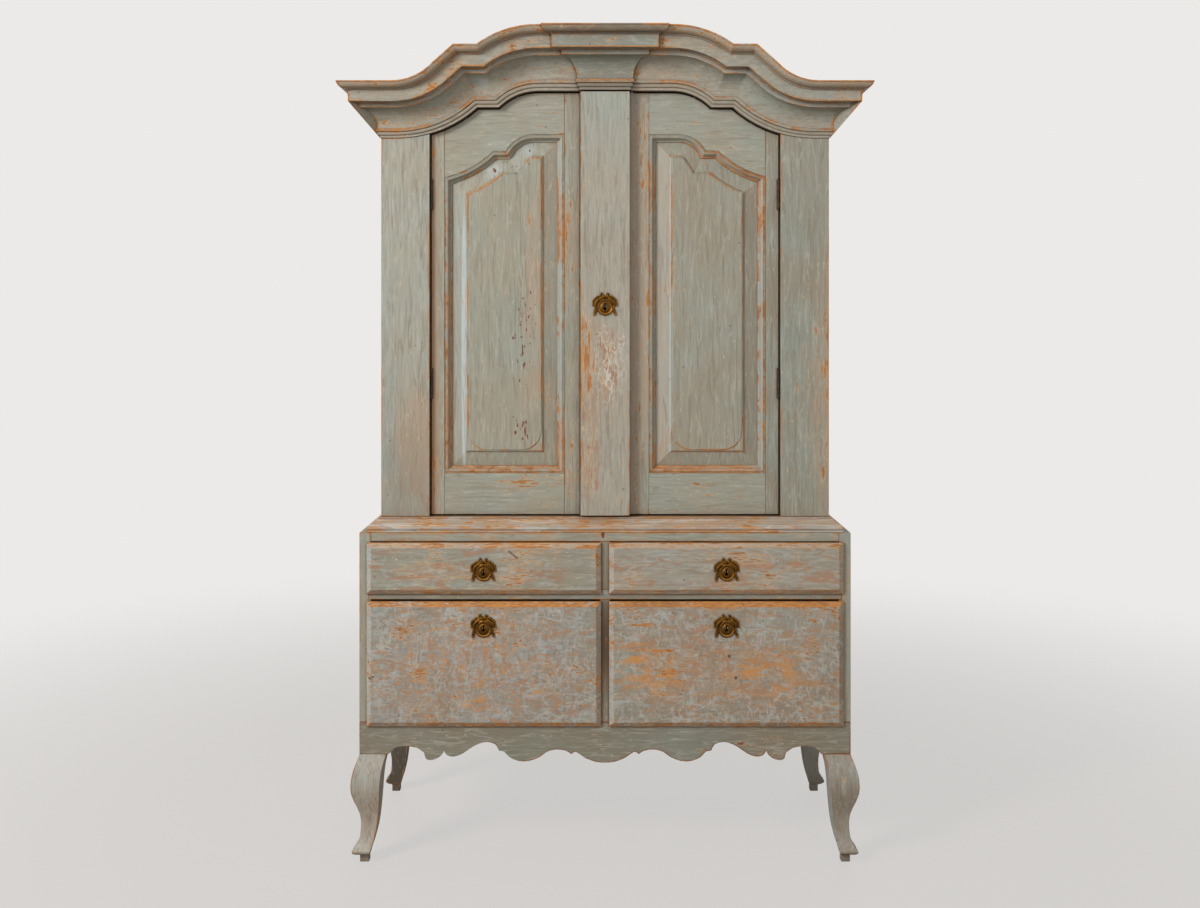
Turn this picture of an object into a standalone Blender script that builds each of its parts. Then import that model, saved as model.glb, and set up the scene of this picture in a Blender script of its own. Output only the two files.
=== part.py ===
# Two-part cupboard standing on a case of four drawers, in metres with +Z up and its front to -Y.
# The origin is on the floor, under the middle of the whole piece.
import math

import bmesh
import bpy
from mathutils import Vector

# Fits that every piece shares
SEAT_GAP = 0.0003
RUN_GAP = 0.0012
CUT_OVERRUN = 0.004
HOUSING_DEPTH = 0.006
BACK_THICKNESS = 0.014
SHARP_ANGLE = math.radians(28)

# Lower case
BASE_WIDTH = 1.053
CASE_DEPTH = 0.445
LEG_HEIGHT = 0.2314
APRON_HEIGHT = 0.0686
APRON_THICKNESS = 0.022
BASE_SIDE_THICKNESS = 0.025
BASE_BOTTOM_THICKNESS = 0.018
LOWER_OPENING_HEIGHT = 0.2625
DUST_BOARD_THICKNESS = 0.021
UPPER_OPENING_HEIGHT = 0.103
TOP_RAIL_HEIGHT = 0.0191
TOP_RAIL_DEPTH = 0.03
PARTITION_THICKNESS = 0.022
LAP_SHARE = 0.5

# Moulded waist board between the two cases
WAIST_THICKNESS = 0.030
WAIST_LEDGE = 0.0035
UPPER_SETBACK = 0.0275
WAIST_SHARES = (
    (0.0, 0.0), (0.14, 0.0), (0.17, 0.09), (0.2, 0.04), (0.3, 0.02), (0.4, 0.05), (0.45, 0.16),
    (0.52, 0.2), (0.6, 0.42), (0.72, 0.66), (0.86, 0.86), (0.87, 1.0), (1.0, 1.0),
)

# Cabriole legs, sawn square: share of the height, then how far the outer and inner faces
# lie from the corner of the case as shares of the leg's width at its top
LEG_WIDTH = 0.058
LEG_SHARES = (
    (0.97, 0.035, 0.955), (0.92, 0.115, 0.9), (0.86, 0.2, 0.845), (0.79, 0.262, 0.81),
    (0.72, 0.285, 0.785), (0.65, 0.262, 0.77), (0.58, 0.18, 0.75), (0.51, 0.075, 0.73),
    (0.44, -0.015, 0.705), (0.37, -0.05, 0.675), (0.3, -0.045, 0.63), (0.23, -0.01, 0.565),
    (0.18, 0.06, 0.51), (0.14, 0.17, 0.455), (0.115, 0.245, 0.425), (0.096, 0.235, 0.405),
    (0.082, 0.15, 0.39), (0.074, 0.04, 0.385),
)
LEG_PAD_SHARE = 0.072
LEG_PAD_OUTER_SHARE = -0.02
LEG_PAD_INNER_SHARE = 0.35

# Drawers
DRAWER_LIP = 0.005
DRAWER_BEVEL_DEPTH = 0.007
DRAWER_BEVEL_WIDTH = 0.0105
DRAWER_TAIL = 0.010
LIP_SIDE_COVER = 0.009
LIP_MIDDLE_COVER = 0.0025
LIP_BOTTOM_COVER = 0.0085
LIP_TOP_GAP_UPPER = 0.0015
LIP_TOP_GAP_LOWER = 0.003
TRAY_WALL = 0.012
TRAY_BOTTOM = 0.009
TRAY_HEIGHT_SHARE = 0.86
DRAWER_STOP_GAP = 0.008

# Upper case
UPPER_INSET = 0.042
FACE_THICKNESS = 0.024
FACE_STILE_WIDTH = 0.1045
FACE_STILE_HEIGHT = 0.8192
UPPER_SIDE_THICKNESS = 0.022
UPPER_BOARD_THICKNESS = 0.020
SHELF_HEIGHT = 0.352
SHELF_SETBACK = 0.004
ROOF_RISE = 0.072
ROOF_THICKNESS = 0.014

# Serpentine line of the cornice, from the corner to the middle, as shares of half the width
SWEEP_END_SHARE = 0.0712
SWEEP_RISE_SHARE = 0.535
SWEEP_RISE_ANGLE = math.radians(42)
SWEEP_FLAT_SHARE = 0.0958
SWEEP_CROWN_SHARE = 0.252
SWEEP_CROWN_ANGLE = math.radians(45)
SWEEP_STEPS = 9

# Cornice section: shares of its height, then of its reach, from the bottom bed moulding up
CORNICE_HEIGHT = 0.1098
CORNICE_REACH = 0.082
CORNICE_SWELL_SHARE = 0.145
BED_SHARES = (
    (0.0, 0.03), (0.05, 0.03), (0.055, 0.07), (0.085, 0.085), (0.115, 0.07), (0.12, 0.105),
    (0.17, 0.125), (0.174, 0.09),
)
COVE_FOOT_SHARES = (0.176, 0.089)
COVE_HEAD_SHARES = (0.543, 0.463)
FASCIA_SHARES = (
    (0.545, 0.49), (0.615, 0.5), (0.618, 0.53), (0.636, 0.535), (0.638, 0.735), (0.849, 0.742),
    (0.853, 0.775), (0.87, 0.78),
)
OVOLO_FOOT_SHARES = (0.872, 0.8)
OVOLO_HEAD_SHARES = (0.972, 0.985)
CROWN_SHARES = ((0.974, 1.0), (1.0, 1.0))
SPLAY_HEAD_SHARE = 0.637
COVE_STEPS = 6
OVOLO_STEPS = 4

# Doors
DOOR_THICKNESS = 0.024
DOOR_RECESS = 0.012
DOOR_GAP = 0.003
DOOR_EDGE_GAP = 0.003
MEETING_GAP = 0.0028
HINGE_STILE_WIDTH = 0.0285
BOTTOM_RAIL_HEIGHT = 0.0895
TOP_RAIL_WIDTH = 0.0932
LEFT_OPENING_EDGE = 0.0885
RIGHT_OPENING_EDGE = 0.0955
PILASTER_WIDTH = 0.106
PILASTER_THICKNESS = 0.022
TENON_LENGTH = 0.018
TENON_THICKNESS = 0.007
TENON_INSET = 0.004
TENON_SHOULDER = 0.018

# Shaped head of the panel opening, as shares of the opening's width
HEAD_START_ANGLE = math.radians(13)
HEAD_RISE_SHARE = 0.8615
HEAD_RISE_ANGLE = math.radians(31)
HEAD_FLAT_SHARE = 0.106
HEAD_CROWN_SHARE = 0.264
HEAD_CROWN_ANGLE = math.radians(62)
HEAD_STEPS = 7

# Panel moulding section: width share from the frame inwards, then depth share from the front
MOULDING_WIDTH = 0.0155
MOULDING_DEPTH = 0.0127
MOULDING_SINK = 0.001
MOULDING_SHARES = (
    (0.0, 0.0), (0.14, 0.0), (0.16, 0.1), (0.3, 0.02), (0.46, 0.1), (0.58, 0.3), (0.63, 0.52),
    (0.7, 0.55), (0.74, 0.72), (0.9, 0.8), (1.0, 0.9), (1.0, 1.0), (0.0, 1.0),
)

# Raised and fielded panel
PANEL_TONGUE = 0.006
TONGUE_THICKNESS = 0.006
GROOVE_GAP = 0.0012
BEVEL_WIDTH = 0.033
BEVEL_RISE = 0.0052
PANEL_STEP = 0.0042
PANEL_STEP_WIDTH = 0.0042
FIELD_RISE = 0.0017
FIELD_INSET = 0.0016
FIELD_CORNER = 0.042
FIELD_CORNER_STEPS = 6

# Butt hinges with their knuckles in front of the doors
HINGE_LENGTH = 0.066
HINGE_LEAF = 0.0010
HINGE_LEAF_WIDTH = 0.0115
KNUCKLE_RADIUS = 0.003
KNUCKLE_GAP = 0.0004
PIN_RADIUS = 0.0013
BORE_RADIUS = 0.0018
KNUCKLE_SIDES = 12
AXIS_OFFSET = 0.004
WEB_FRONT_SHARE = 1.5
WEB_BACK_SHARE = 0.5
LOWER_HINGE_HEIGHT = 0.255
UPPER_HINGE_HEIGHT = 0.665

# Lock, keyholes and cast keyhole plates
LOCK_HEIGHT = 0.4545
LOCK_WIDTH = 0.088
LOCK_TALL = 0.062
LOCK_DEPTH = 0.016
LOCK_PLATE = 0.0025
LOCK_RIM = 0.009
PLATE_WIDTH = 0.0545
PLATE_HEIGHT = 0.0515
PLATE_THICKNESS = 0.0017
BOSS_RISE = 0.0026
BOSS_SIDES = 18
KEYHOLE_RADIUS = 0.0037
KEYHOLE_HEIGHT = 0.0175
KEYHOLE_TIP = 0.0011
KEYHOLE_ARC = math.radians(320)
KEYHOLE_SIDES = 10
UPPER_KEY_DROP = 0.061
LOWER_KEY_DROP = 0.0555

# Right half of the plate's outline from the middle of its top to the middle of its foot,
# as shares of its half width and its height measured from the keyhole's middle
PLATE_SHARES = (
    (0.0, 0.44), (0.08, 0.52), (0.22, 0.58), (0.36, 0.54), (0.44, 0.44), (0.58, 0.42),
    (0.66, 0.34), (0.8, 0.32), (0.93, 0.3), (0.96, 0.16), (1.0, 0.08), (0.92, 0.01),
    (0.8, -0.03), (0.82, -0.14), (0.94, -0.3), (0.9, -0.37), (0.76, -0.36), (0.62, -0.2),
    (0.5, -0.26), (0.28, -0.36), (0.0, -0.4),
)
BOSS_WIDTH_SHARE = 0.52
BOSS_HEIGHT_SHARE = 0.36
BOSS_RING_SHARES = ((1.0, -0.3), (1.0, 0.0), (0.94, 0.45), (0.8, 0.85), (0.72, 1.0), (0.66, 0.7))

# Lower edge of the apron from the leg to the middle: smooth runs that meet in corners,
# as shares of the half width of the case and of the apron's height, down from the bottom board
APRON_RUN_SHARES = (
    ((0.879, 1.0), (0.86, 0.84), (0.838, 0.775), (0.802, 0.765), (0.766, 0.815), (0.737, 0.96)),
    ((0.737, 0.96), (0.7295, 1.15), (0.712, 1.2), (0.684, 1.145), (0.664, 1.02), (0.657, 0.905)),
    ((0.657, 0.905), (0.643, 1.045), (0.615, 1.09), (0.578, 0.985), (0.541, 0.79),
     (0.505, 0.66), (0.476, 0.635), (0.446, 0.71), (0.432, 0.905)),
    ((0.432, 0.905), (0.41, 0.935), (0.39, 1.1), (0.352, 1.225), (0.309, 1.225), (0.265, 1.095),
     (0.236, 0.935), (0.199, 0.865), (0.159, 0.905), (0.137, 1.015)),
    ((0.137, 1.015), (0.119, 0.935), (0.083, 1.12), (0.039, 1.25), (0.0, 1.28)),
)
APRON_STEPS = 2

# Places worked out from the sizes above
SIDES = {"left": -1, "right": 1}
BASE_HALF = BASE_WIDTH / 2
UPPER_HALF = BASE_HALF - UPPER_INSET
KEYSTONE_BREAK = PILASTER_THICKNESS - DOOR_RECESS
FRONT_REACH = CORNICE_REACH + KEYSTONE_BREAK - UPPER_SETBACK
FRONT_Y = FRONT_REACH - (CASE_DEPTH + FRONT_REACH) / 2
BACK_Y = FRONT_Y + CASE_DEPTH
INNER_BACK_Y = BACK_Y - BACK_THICKNESS - SEAT_GAP
UPPER_Y = FRONT_Y + UPPER_SETBACK
FACE_BACK_Y = UPPER_Y + FACE_THICKNESS
DOOR_Y = UPPER_Y + DOOR_RECESS
DOOR_BACK_Y = DOOR_Y + DOOR_THICKNESS

FLOOR_OF_DRAWERS = LEG_HEIGHT + APRON_HEIGHT
DUST_Z = FLOOR_OF_DRAWERS + LOWER_OPENING_HEIGHT
DUST_TOP_Z = DUST_Z + DUST_BOARD_THICKNESS
RAIL_Z = DUST_TOP_Z + UPPER_OPENING_HEIGHT
BASE_TOP_Z = RAIL_Z + TOP_RAIL_HEIGHT
WAIST_Z = BASE_TOP_Z + SEAT_GAP
WAIST_TOP_Z = WAIST_Z + WAIST_THICKNESS
UPPER_Z = WAIST_TOP_Z + SEAT_GAP
CORNICE_Z = UPPER_Z + FACE_STILE_HEIGHT

BASE_INNER = BASE_HALF - BASE_SIDE_THICKNESS
UPPER_INNER = UPPER_HALF - UPPER_SIDE_THICKNESS
PARTITION_HALF = PARTITION_THICKNESS / 2
PILASTER_HALF = PILASTER_WIDTH / 2
DOOR_FRAME_EDGE = UPPER_HALF - FACE_STILE_WIDTH
DOOR_OUTER = DOOR_FRAME_EDGE - DOOR_EDGE_GAP
OPENING_OUTER = DOOR_OUTER - HINGE_STILE_WIDTH
AXIS_X = DOOR_FRAME_EDGE - AXIS_OFFSET
AXIS_Y = DOOR_Y - KNUCKLE_RADIUS - SEAT_GAP
LEFT_MEETING = PILASTER_HALF + MEETING_GAP / 2
RIGHT_MEETING = MEETING_GAP / 2 - PILASTER_HALF
DOOR_Z = UPPER_Z + DOOR_GAP
OPENING_Z = DOOR_Z + BOTTOM_RAIL_HEIGHT
KEY_Z = UPPER_Z + LOCK_HEIGHT
DRAWER_KEY_X = (BASE_INNER + LIP_SIDE_COVER + PARTITION_HALF - LIP_MIDDLE_COVER) / 2


def finish(name, colour, roughness, metallic=0.0):
    material = bpy.data.materials.new(name)
    material.use_nodes = True
    shader = material.node_tree.nodes["Principled BSDF"]
    shader.inputs["Base Color"].default_value = (*colour, 1.0)
    shader.inputs["Roughness"].default_value = roughness
    shader.inputs["Metallic"].default_value = metallic
    return material


def painted_pine():
    return finish("painted_pine", (0.33, 0.34, 0.29), 0.62)


def raw_pine():
    return finish("raw_pine", (0.42, 0.26, 0.13), 0.75)


def cast_brass():
    return finish("cast_brass", (0.38, 0.22, 0.05), 0.42, 1.0)


def forged_iron():
    return finish("forged_iron", (0.10, 0.085, 0.075), 0.6, 1.0)


# Makes one closed mesh object from world points, placed by its own location
def solid(name, points, faces, material, origin, parent=None):
    start = Vector(origin)
    mesh = bpy.data.meshes.new(name)
    mesh.from_pydata([Vector(point) - start for point in points], [], faces)
    shape = bmesh.new()
    shape.from_mesh(mesh)
    bmesh.ops.recalc_face_normals(shape, faces=shape.faces[:])
    shape.to_mesh(mesh)
    shape.free()
    mesh.shade_smooth()
    mesh.set_sharp_from_angle(angle=SHARP_ANGLE)
    mesh.materials.append(material)
    piece = bpy.data.objects.new(name, mesh)
    bpy.context.scene.collection.objects.link(piece)
    piece.parent = parent
    piece.location = start - (parent.location if parent else Vector())
    return piece


# Joins closed rings of equal length one after the other and caps both ends, where an end
# that bends has one cap for each of its flat parts
def loft(name, rings, material, parent=None, caps=None):
    count = len(rings[0])
    points = [point for ring in rings for point in ring]
    faces = []
    for first in (0, len(points) - count):
        faces += [tuple(first + index for index in cap) for cap in caps or [range(count)]]
    for row in range(len(rings) - 1):
        for column in range(count):
            ahead = (column + 1) % count
            low = row * count
            high = low + count
            faces.append((low + column, low + ahead, high + ahead, high + column))
    return solid(name, points, faces, material, points[0], parent)


# Joins closed loops one after the other and the last to the first, as a mitred frame
def frame_ring(name, loops, material, parent=None):
    count = len(loops[0])
    points = [point for loop in loops for point in loop]
    faces = []
    for row in range(len(loops)):
        for column in range(count):
            ahead = (column + 1) % count
            low = row * count
            high = (row + 1) % len(loops) * count
            faces.append((low + column, low + ahead, high + ahead, high + column))
    return solid(name, points, faces, material, points[0], parent)


def front_prism(name, outline, start, end, material, parent=None):
    rings = [[(x, y, z) for x, z in outline] for y in (start, end)]
    return loft(name, rings, material, parent)


def side_prism(name, outline, start, end, material, parent=None):
    rings = [[(x, y, z) for y, z in outline] for x in (start, end)]
    return loft(name, rings, material, parent)


def plan_prism(name, outline, start, end, material, parent=None):
    rings = [[(x, y, z) for x, y in outline] for z in (start, end)]
    return loft(name, rings, material, parent)


def box(name, x_range, y_range, z_range, material, parent=None):
    x_low, x_high = sorted(x_range)
    outline = [(x_low, y_range[0]), (x_high, y_range[0]), (x_high, y_range[1]), (x_low, y_range[1])]
    return plan_prism(name, outline, z_range[0], z_range[1], material, parent)


def guide(piece):
    piece.hide_render = True
    piece.display_type = "WIRE"
    return piece


def combine(piece, tool, operation):
    change = piece.modifiers.new(tool.name, "BOOLEAN")
    change.operation = operation
    change.solver = "EXACT"
    change.object = guide(tool)
    return piece


def carve(piece, tool):
    return combine(piece, tool, "DIFFERENCE")


def join(piece, tool):
    return combine(piece, tool, "UNION")


# Points of a line drawn like a pen: lines, arcs and turns from a start with a heading
def pen_line(start, heading, moves):
    points = [start]
    for kind, size, angle, steps in moves:
        if kind == "turn":
            heading += angle
            continue
        for _ in range(steps):
            half = angle / steps / 2
            chord = size / steps if kind == "line" else 2 * size * math.sin(abs(half))
            heading += half
            x, z = points[-1]
            points.append((x + chord * math.cos(heading), z + chord * math.sin(heading)))
            heading += half
    return points


# Moves each point of a line sideways, with mitres at its corners
def offset_line(points, distance, closed=False):
    moved = []
    count = len(points)
    for index, point in enumerate(points):
        before = points[index - 1] if index or closed else None
        after = points[(index + 1) % count] if index < count - 1 or closed else None
        normals = []
        for start, end in ((before, point), (point, after)):
            if start is not None and end is not None:
                run = Vector(end) - Vector(start)
                normals.append(Vector((-run.y, run.x)).normalized())
        first, last = normals[0], normals[-1]
        mitre = (first + last) / (1 + first.dot(last))
        moved.append((point[0] + mitre.x * distance, point[1] + mitre.y * distance))
    return moved


# Smooth curve through a few points of a run, whose ends stay corners
def smooth_run(points, steps):
    curve = [points[0]]
    for index in range(len(points) - 1):
        before = Vector(points[max(index - 1, 0)])
        start = Vector(points[index])
        end = Vector(points[index + 1])
        after = Vector(points[min(index + 2, len(points) - 1)])
        for step in range(1, steps + 1):
            t = step / steps
            place = (2 * start + (end - before) * t
                     + (2 * before - 5 * start + 4 * end - after) * t ** 2
                     + (3 * start - before - 3 * end + after) * t ** 3) / 2
            curve.append((place.x, place.y))
    return curve


# Height of a line of points at one place across, where the line runs towards the middle
def height_at(points, across):
    for (x_start, z_start), (x_end, z_end) in zip(points, points[1:]):
        if x_start <= across <= x_end:
            return z_start + (z_end - z_start) * (across - x_start) / (x_end - x_start)
    return points[-1][1]


# The serpentine line from the left corner to the right one
def sweep_line():
    half = [
        ("line", UPPER_HALF * SWEEP_END_SHARE, 0, 1),
        ("arc", UPPER_HALF * SWEEP_RISE_SHARE, SWEEP_RISE_ANGLE, SWEEP_STEPS),
        ("turn", 0, -SWEEP_RISE_ANGLE, 0),
        ("line", UPPER_HALF * SWEEP_FLAT_SHARE, 0, 1),
        ("turn", 0, SWEEP_CROWN_ANGLE, 0),
        ("arc", UPPER_HALF * SWEEP_CROWN_SHARE, -SWEEP_CROWN_ANGLE, SWEEP_STEPS),
    ]
    left = pen_line((-UPPER_HALF, CORNICE_Z), 0, half)
    return left + [(-x, z) for x, z in reversed(left)]


SWEEP = sweep_line()
SWEEP_PEAK_Z = max(z for x, z in SWEEP)


# The serpentine raised by a distance; its crown stays a true arc that meets the raised flat run
def serpentine_at(rise):
    line = offset_line(SWEEP, rise)
    start = SWEEP_STEPS + 2
    x_start, z_start = SWEEP[start]
    radius = UPPER_HALF * SWEEP_CROWN_SHARE
    x_middle = x_start + radius * math.sin(SWEEP_CROWN_ANGLE)
    drop = radius * math.cos(SWEEP_CROWN_ANGLE)
    first = math.acos((drop + rise) / (radius + rise))
    for step in range(SWEEP_STEPS + 1):
        angle = first * (1 - step / SWEEP_STEPS)
        x = x_middle - (radius + rise) * math.sin(angle)
        z = z_start - drop + (radius + rise) * math.cos(angle)
        line[start + step] = (x, z)
        line[-1 - start - step] = (-x, z)
    return line


# The part of the serpentine between two places across, lowered by a gap
def sweep_between(start, end, drop):
    lowered = offset_line(SWEEP, -drop)
    inside = [(x, z) for x, z in lowered if start < x < end]
    return [(start, height_at(lowered, start)), *inside, (end, height_at(lowered, end))]


def quarter(foot, head, steps, hollow):
    points = []
    for step in range(steps + 1):
        angle = math.pi / 2 * step / steps
        rise = math.sin(angle) if hollow else 1 - math.cos(angle)
        reach = 1 - math.cos(angle) if hollow else math.sin(angle)
        points.append((foot[0] + (head[0] - foot[0]) * rise, foot[1] + (head[1] - foot[1]) * reach))
    return points


# Cornice section as heights and reaches in metres, moulded or with a plain splay below its fascia
def cornice_section(splayed=False):
    shares = list(BED_SHARES)
    shares += quarter(COVE_FOOT_SHARES, COVE_HEAD_SHARES, COVE_STEPS, True)
    shares += FASCIA_SHARES
    shares += quarter(OVOLO_FOOT_SHARES, OVOLO_HEAD_SHARES, OVOLO_STEPS, False)
    shares += CROWN_SHARES
    if splayed:
        shares = [shares[0]] + [share for share in shares if share[0] > SPLAY_HEAD_SHARE]
    return [(height * CORNICE_HEIGHT, reach * CORNICE_REACH) for height, reach in shares]


def swell_at(height):
    climbed = (height - CORNICE_Z) / (SWEEP_PEAK_Z - CORNICE_Z)
    return 1 + CORNICE_SWELL_SHARE * climbed


def boards_housed_in(side_piece, board, x_range, y_range, z_range, paint):
    grown_y = (y_range[0] - SEAT_GAP, y_range[1] + CUT_OVERRUN)
    grown_z = (z_range[0] - SEAT_GAP, z_range[1] + SEAT_GAP)
    tool = box(f"{side_piece.name}_{board}_housing", x_range, grown_y, grown_z, paint)
    carve(side_piece, tool)


def base_sides(paint):
    for word, side in SIDES.items():
        notch_y = FRONT_Y + APRON_THICKNESS + SEAT_GAP
        notch_z = FLOOR_OF_DRAWERS + SEAT_GAP
        outline = [
            (FRONT_Y, notch_z), (FRONT_Y, BASE_TOP_Z), (INNER_BACK_Y, BASE_TOP_Z),
            (INNER_BACK_Y, LEG_HEIGHT), (notch_y, LEG_HEIGHT), (notch_y, notch_z),
        ]
        piece = side_prism(f"base_side_{word}", outline, side * BASE_HALF, side * BASE_INNER, paint)
        housing = (side * (BASE_INNER - CUT_OVERRUN), side * (BASE_INNER + HOUSING_DEPTH))
        for board, y_start, z_start, thickness in (
            ("bottom", notch_y, FLOOR_OF_DRAWERS - BASE_BOTTOM_THICKNESS, BASE_BOTTOM_THICKNESS),
            ("dust", FRONT_Y - CUT_OVERRUN, DUST_Z, DUST_BOARD_THICKNESS),
        ):
            y_range = (y_start, INNER_BACK_Y)
            z_range = (z_start, z_start + thickness)
            boards_housed_in(piece, board, housing, y_range, z_range, paint)


def base_boards(paint, wood):
    reach = BASE_INNER + HOUSING_DEPTH - SEAT_GAP
    bottom_y = (FRONT_Y + APRON_THICKNESS + SEAT_GAP, INNER_BACK_Y)
    bottom_z = (FLOOR_OF_DRAWERS - BASE_BOTTOM_THICKNESS, FLOOR_OF_DRAWERS)
    box("base_bottom", (-reach, reach), bottom_y, bottom_z, wood)
    lap_y = FRONT_Y + (INNER_BACK_Y - FRONT_Y) * LAP_SHARE
    notch = PARTITION_HALF + SEAT_GAP
    outline = [
        (-reach, FRONT_Y), (reach, FRONT_Y), (reach, INNER_BACK_Y), (notch, INNER_BACK_Y),
        (notch, lap_y), (-notch, lap_y), (-notch, INNER_BACK_Y), (-reach, INNER_BACK_Y),
    ]
    plan_prism("dust_board", outline, DUST_Z, DUST_TOP_Z, paint)
    box("base_back", (-BASE_HALF, BASE_HALF), (BACK_Y - BACK_THICKNESS, BACK_Y),
        (LEG_HEIGHT, BASE_TOP_Z), wood)


# The partition and the dust board are halved over each other
def partition(paint):
    lap_y = FRONT_Y + (INNER_BACK_Y - FRONT_Y) * LAP_SHARE + SEAT_GAP
    rail_y = FRONT_Y + TOP_RAIL_DEPTH + SEAT_GAP
    outline = [
        (FRONT_Y, FLOOR_OF_DRAWERS + SEAT_GAP), (FRONT_Y, DUST_Z - SEAT_GAP),
        (lap_y, DUST_Z - SEAT_GAP), (lap_y, DUST_TOP_Z + SEAT_GAP),
        (FRONT_Y, DUST_TOP_Z + SEAT_GAP), (FRONT_Y, RAIL_Z - SEAT_GAP),
        (rail_y, RAIL_Z - SEAT_GAP), (rail_y, BASE_TOP_Z),
        (INNER_BACK_Y - SEAT_GAP, BASE_TOP_Z),
        (INNER_BACK_Y - SEAT_GAP, FLOOR_OF_DRAWERS + SEAT_GAP),
    ]
    side_prism("centre_partition", outline, -PARTITION_HALF, PARTITION_HALF, paint)


def top_rail(paint):
    reach = BASE_INNER - SEAT_GAP
    box("top_rail", (-reach, reach), (FRONT_Y, FRONT_Y + TOP_RAIL_DEPTH), (RAIL_Z, BASE_TOP_Z), paint)


def apron(paint):
    half = []
    for run in APRON_RUN_SHARES:
        places = [(-BASE_HALF * x, FLOOR_OF_DRAWERS - APRON_HEIGHT * drop) for x, drop in run]
        half += smooth_run(places, APRON_STEPS)[1 if half else 0:]
    edge = half + [(-x, z) for x, z in reversed(half[:-1])]
    corners = [(BASE_HALF, LEG_HEIGHT), (BASE_HALF, FLOOR_OF_DRAWERS)]
    outline = [(-BASE_HALF, FLOOR_OF_DRAWERS), (-BASE_HALF, LEG_HEIGHT), *edge, *corners]
    front_prism("apron", outline, FRONT_Y, FRONT_Y + APRON_THICKNESS, paint)


def waist_board(paint):
    slope = UPPER_SETBACK - WAIST_LEDGE
    outer_half = UPPER_HALF + UPPER_SETBACK
    rings = []
    for rise, inset in WAIST_SHARES:
        half = outer_half - slope * inset
        front = FRONT_Y + slope * inset
        z = WAIST_Z + WAIST_THICKNESS * rise
        rings.append([(-half, front, z), (half, front, z), (half, BACK_Y, z), (-half, BACK_Y, z)])
    loft("waist_board", rings, paint)


# A square leg: its outer faces bulge past the corner of the case and its post stands inside
def leg(name, side, front, paint):
    def ring(x_outer, x_inner, y_outer, y_inner, z):
        corners = [(x_outer, y_outer), (x_inner, y_outer), (x_inner, y_inner), (x_outer, y_inner)]
        return [(side * x, y, z) for x, y in corners]

    corner_y = FRONT_Y if front else BACK_Y
    inward = 1 if front else -1
    levels = [
        (0, LEG_PAD_OUTER_SHARE, LEG_PAD_INNER_SHARE),
        (LEG_PAD_SHARE, LEG_PAD_OUTER_SHARE, LEG_PAD_INNER_SHARE),
        *reversed(LEG_SHARES),
    ]
    rings = []
    for height, outer, inner in levels:
        out = LEG_WIDTH * outer
        y_out = out if front else min(out, 0)
        rings.append(ring(BASE_HALF + out, BASE_HALF - LEG_WIDTH * inner, corner_y - inward * y_out,
                          corner_y + inward * LEG_WIDTH * inner, LEG_HEIGHT * height))
    top = LEG_HEIGHT - SEAT_GAP
    wall = APRON_THICKNESS if front else BACK_THICKNESS
    inner_x = BASE_HALF - LEG_WIDTH
    inner_y = corner_y + inward * LEG_WIDTH
    post_x = BASE_INNER - SEAT_GAP
    post_y = corner_y + inward * (wall + 2 * SEAT_GAP)
    post_top = FLOOR_OF_DRAWERS - BASE_BOTTOM_THICKNESS - SEAT_GAP
    rings.append(ring(BASE_HALF, inner_x, corner_y, inner_y, top))
    rings.append(ring(post_x, inner_x, post_y, inner_y, top))
    rings.append(ring(post_x, inner_x, post_y, inner_y, post_top))
    loft(name, rings, paint)


# Teardrop keyhole, round at its foot and narrow at its head
def keyhole_outline(x_middle, z_middle):
    foot_z = z_middle - KEYHOLE_HEIGHT / 2 + KEYHOLE_RADIUS
    tip_z = z_middle + KEYHOLE_HEIGHT / 2
    outline = []
    for step in range(KEYHOLE_SIDES + 1):
        angle = KEYHOLE_ARC / 2 - KEYHOLE_ARC * step / KEYHOLE_SIDES
        turned = angle - math.pi / 2
        outline.append((x_middle + KEYHOLE_RADIUS * math.cos(turned),
                        foot_z + KEYHOLE_RADIUS * math.sin(turned)))
    return outline + [(x_middle - KEYHOLE_TIP, tip_z), (x_middle + KEYHOLE_TIP, tip_z)]


def keyhole(name, x_middle, z_middle, y_range, material):
    return front_prism(name, keyhole_outline(x_middle, z_middle), *y_range, material)


# Cast plate with knobs and hanging tails round a raised boss, pierced by the keyhole
def key_plate(name, x_middle, y_seat, z_middle, brass, parent):
    half = [(x * PLATE_WIDTH / 2, z * PLATE_HEIGHT) for x, z in PLATE_SHARES]
    outline = half + [(-x, z) for x, z in reversed(half[1:-1])]
    outline = [(x_middle + x, z_middle + z) for x, z in outline]
    plate = front_prism(name, outline, y_seat, y_seat - PLATE_THICKNESS, brass, parent)
    rings = []
    for share, rise in BOSS_RING_SHARES:
        y = y_seat - PLATE_THICKNESS - BOSS_RISE * rise
        ring = []
        for step in range(BOSS_SIDES):
            angle = math.tau * step / BOSS_SIDES
            x = share * PLATE_WIDTH / 2 * BOSS_WIDTH_SHARE * math.cos(angle)
            z = share * PLATE_HEIGHT * BOSS_HEIGHT_SHARE * math.sin(angle)
            ring.append((x_middle + x, y, z_middle + z))
        rings.append(ring)
    join(plate, loft(f"{name}_boss", rings, brass, parent))
    depth = (y_seat + CUT_OVERRUN, y_seat - PLATE_THICKNESS - BOSS_RISE - CUT_OVERRUN)
    carve(plate, keyhole(f"{name}_hole", x_middle, z_middle, depth, brass))


def axis_frame(name, place):
    frame = bpy.data.objects.new(name, None)
    frame.location = place
    bpy.context.scene.collection.objects.link(frame)
    return frame


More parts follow.
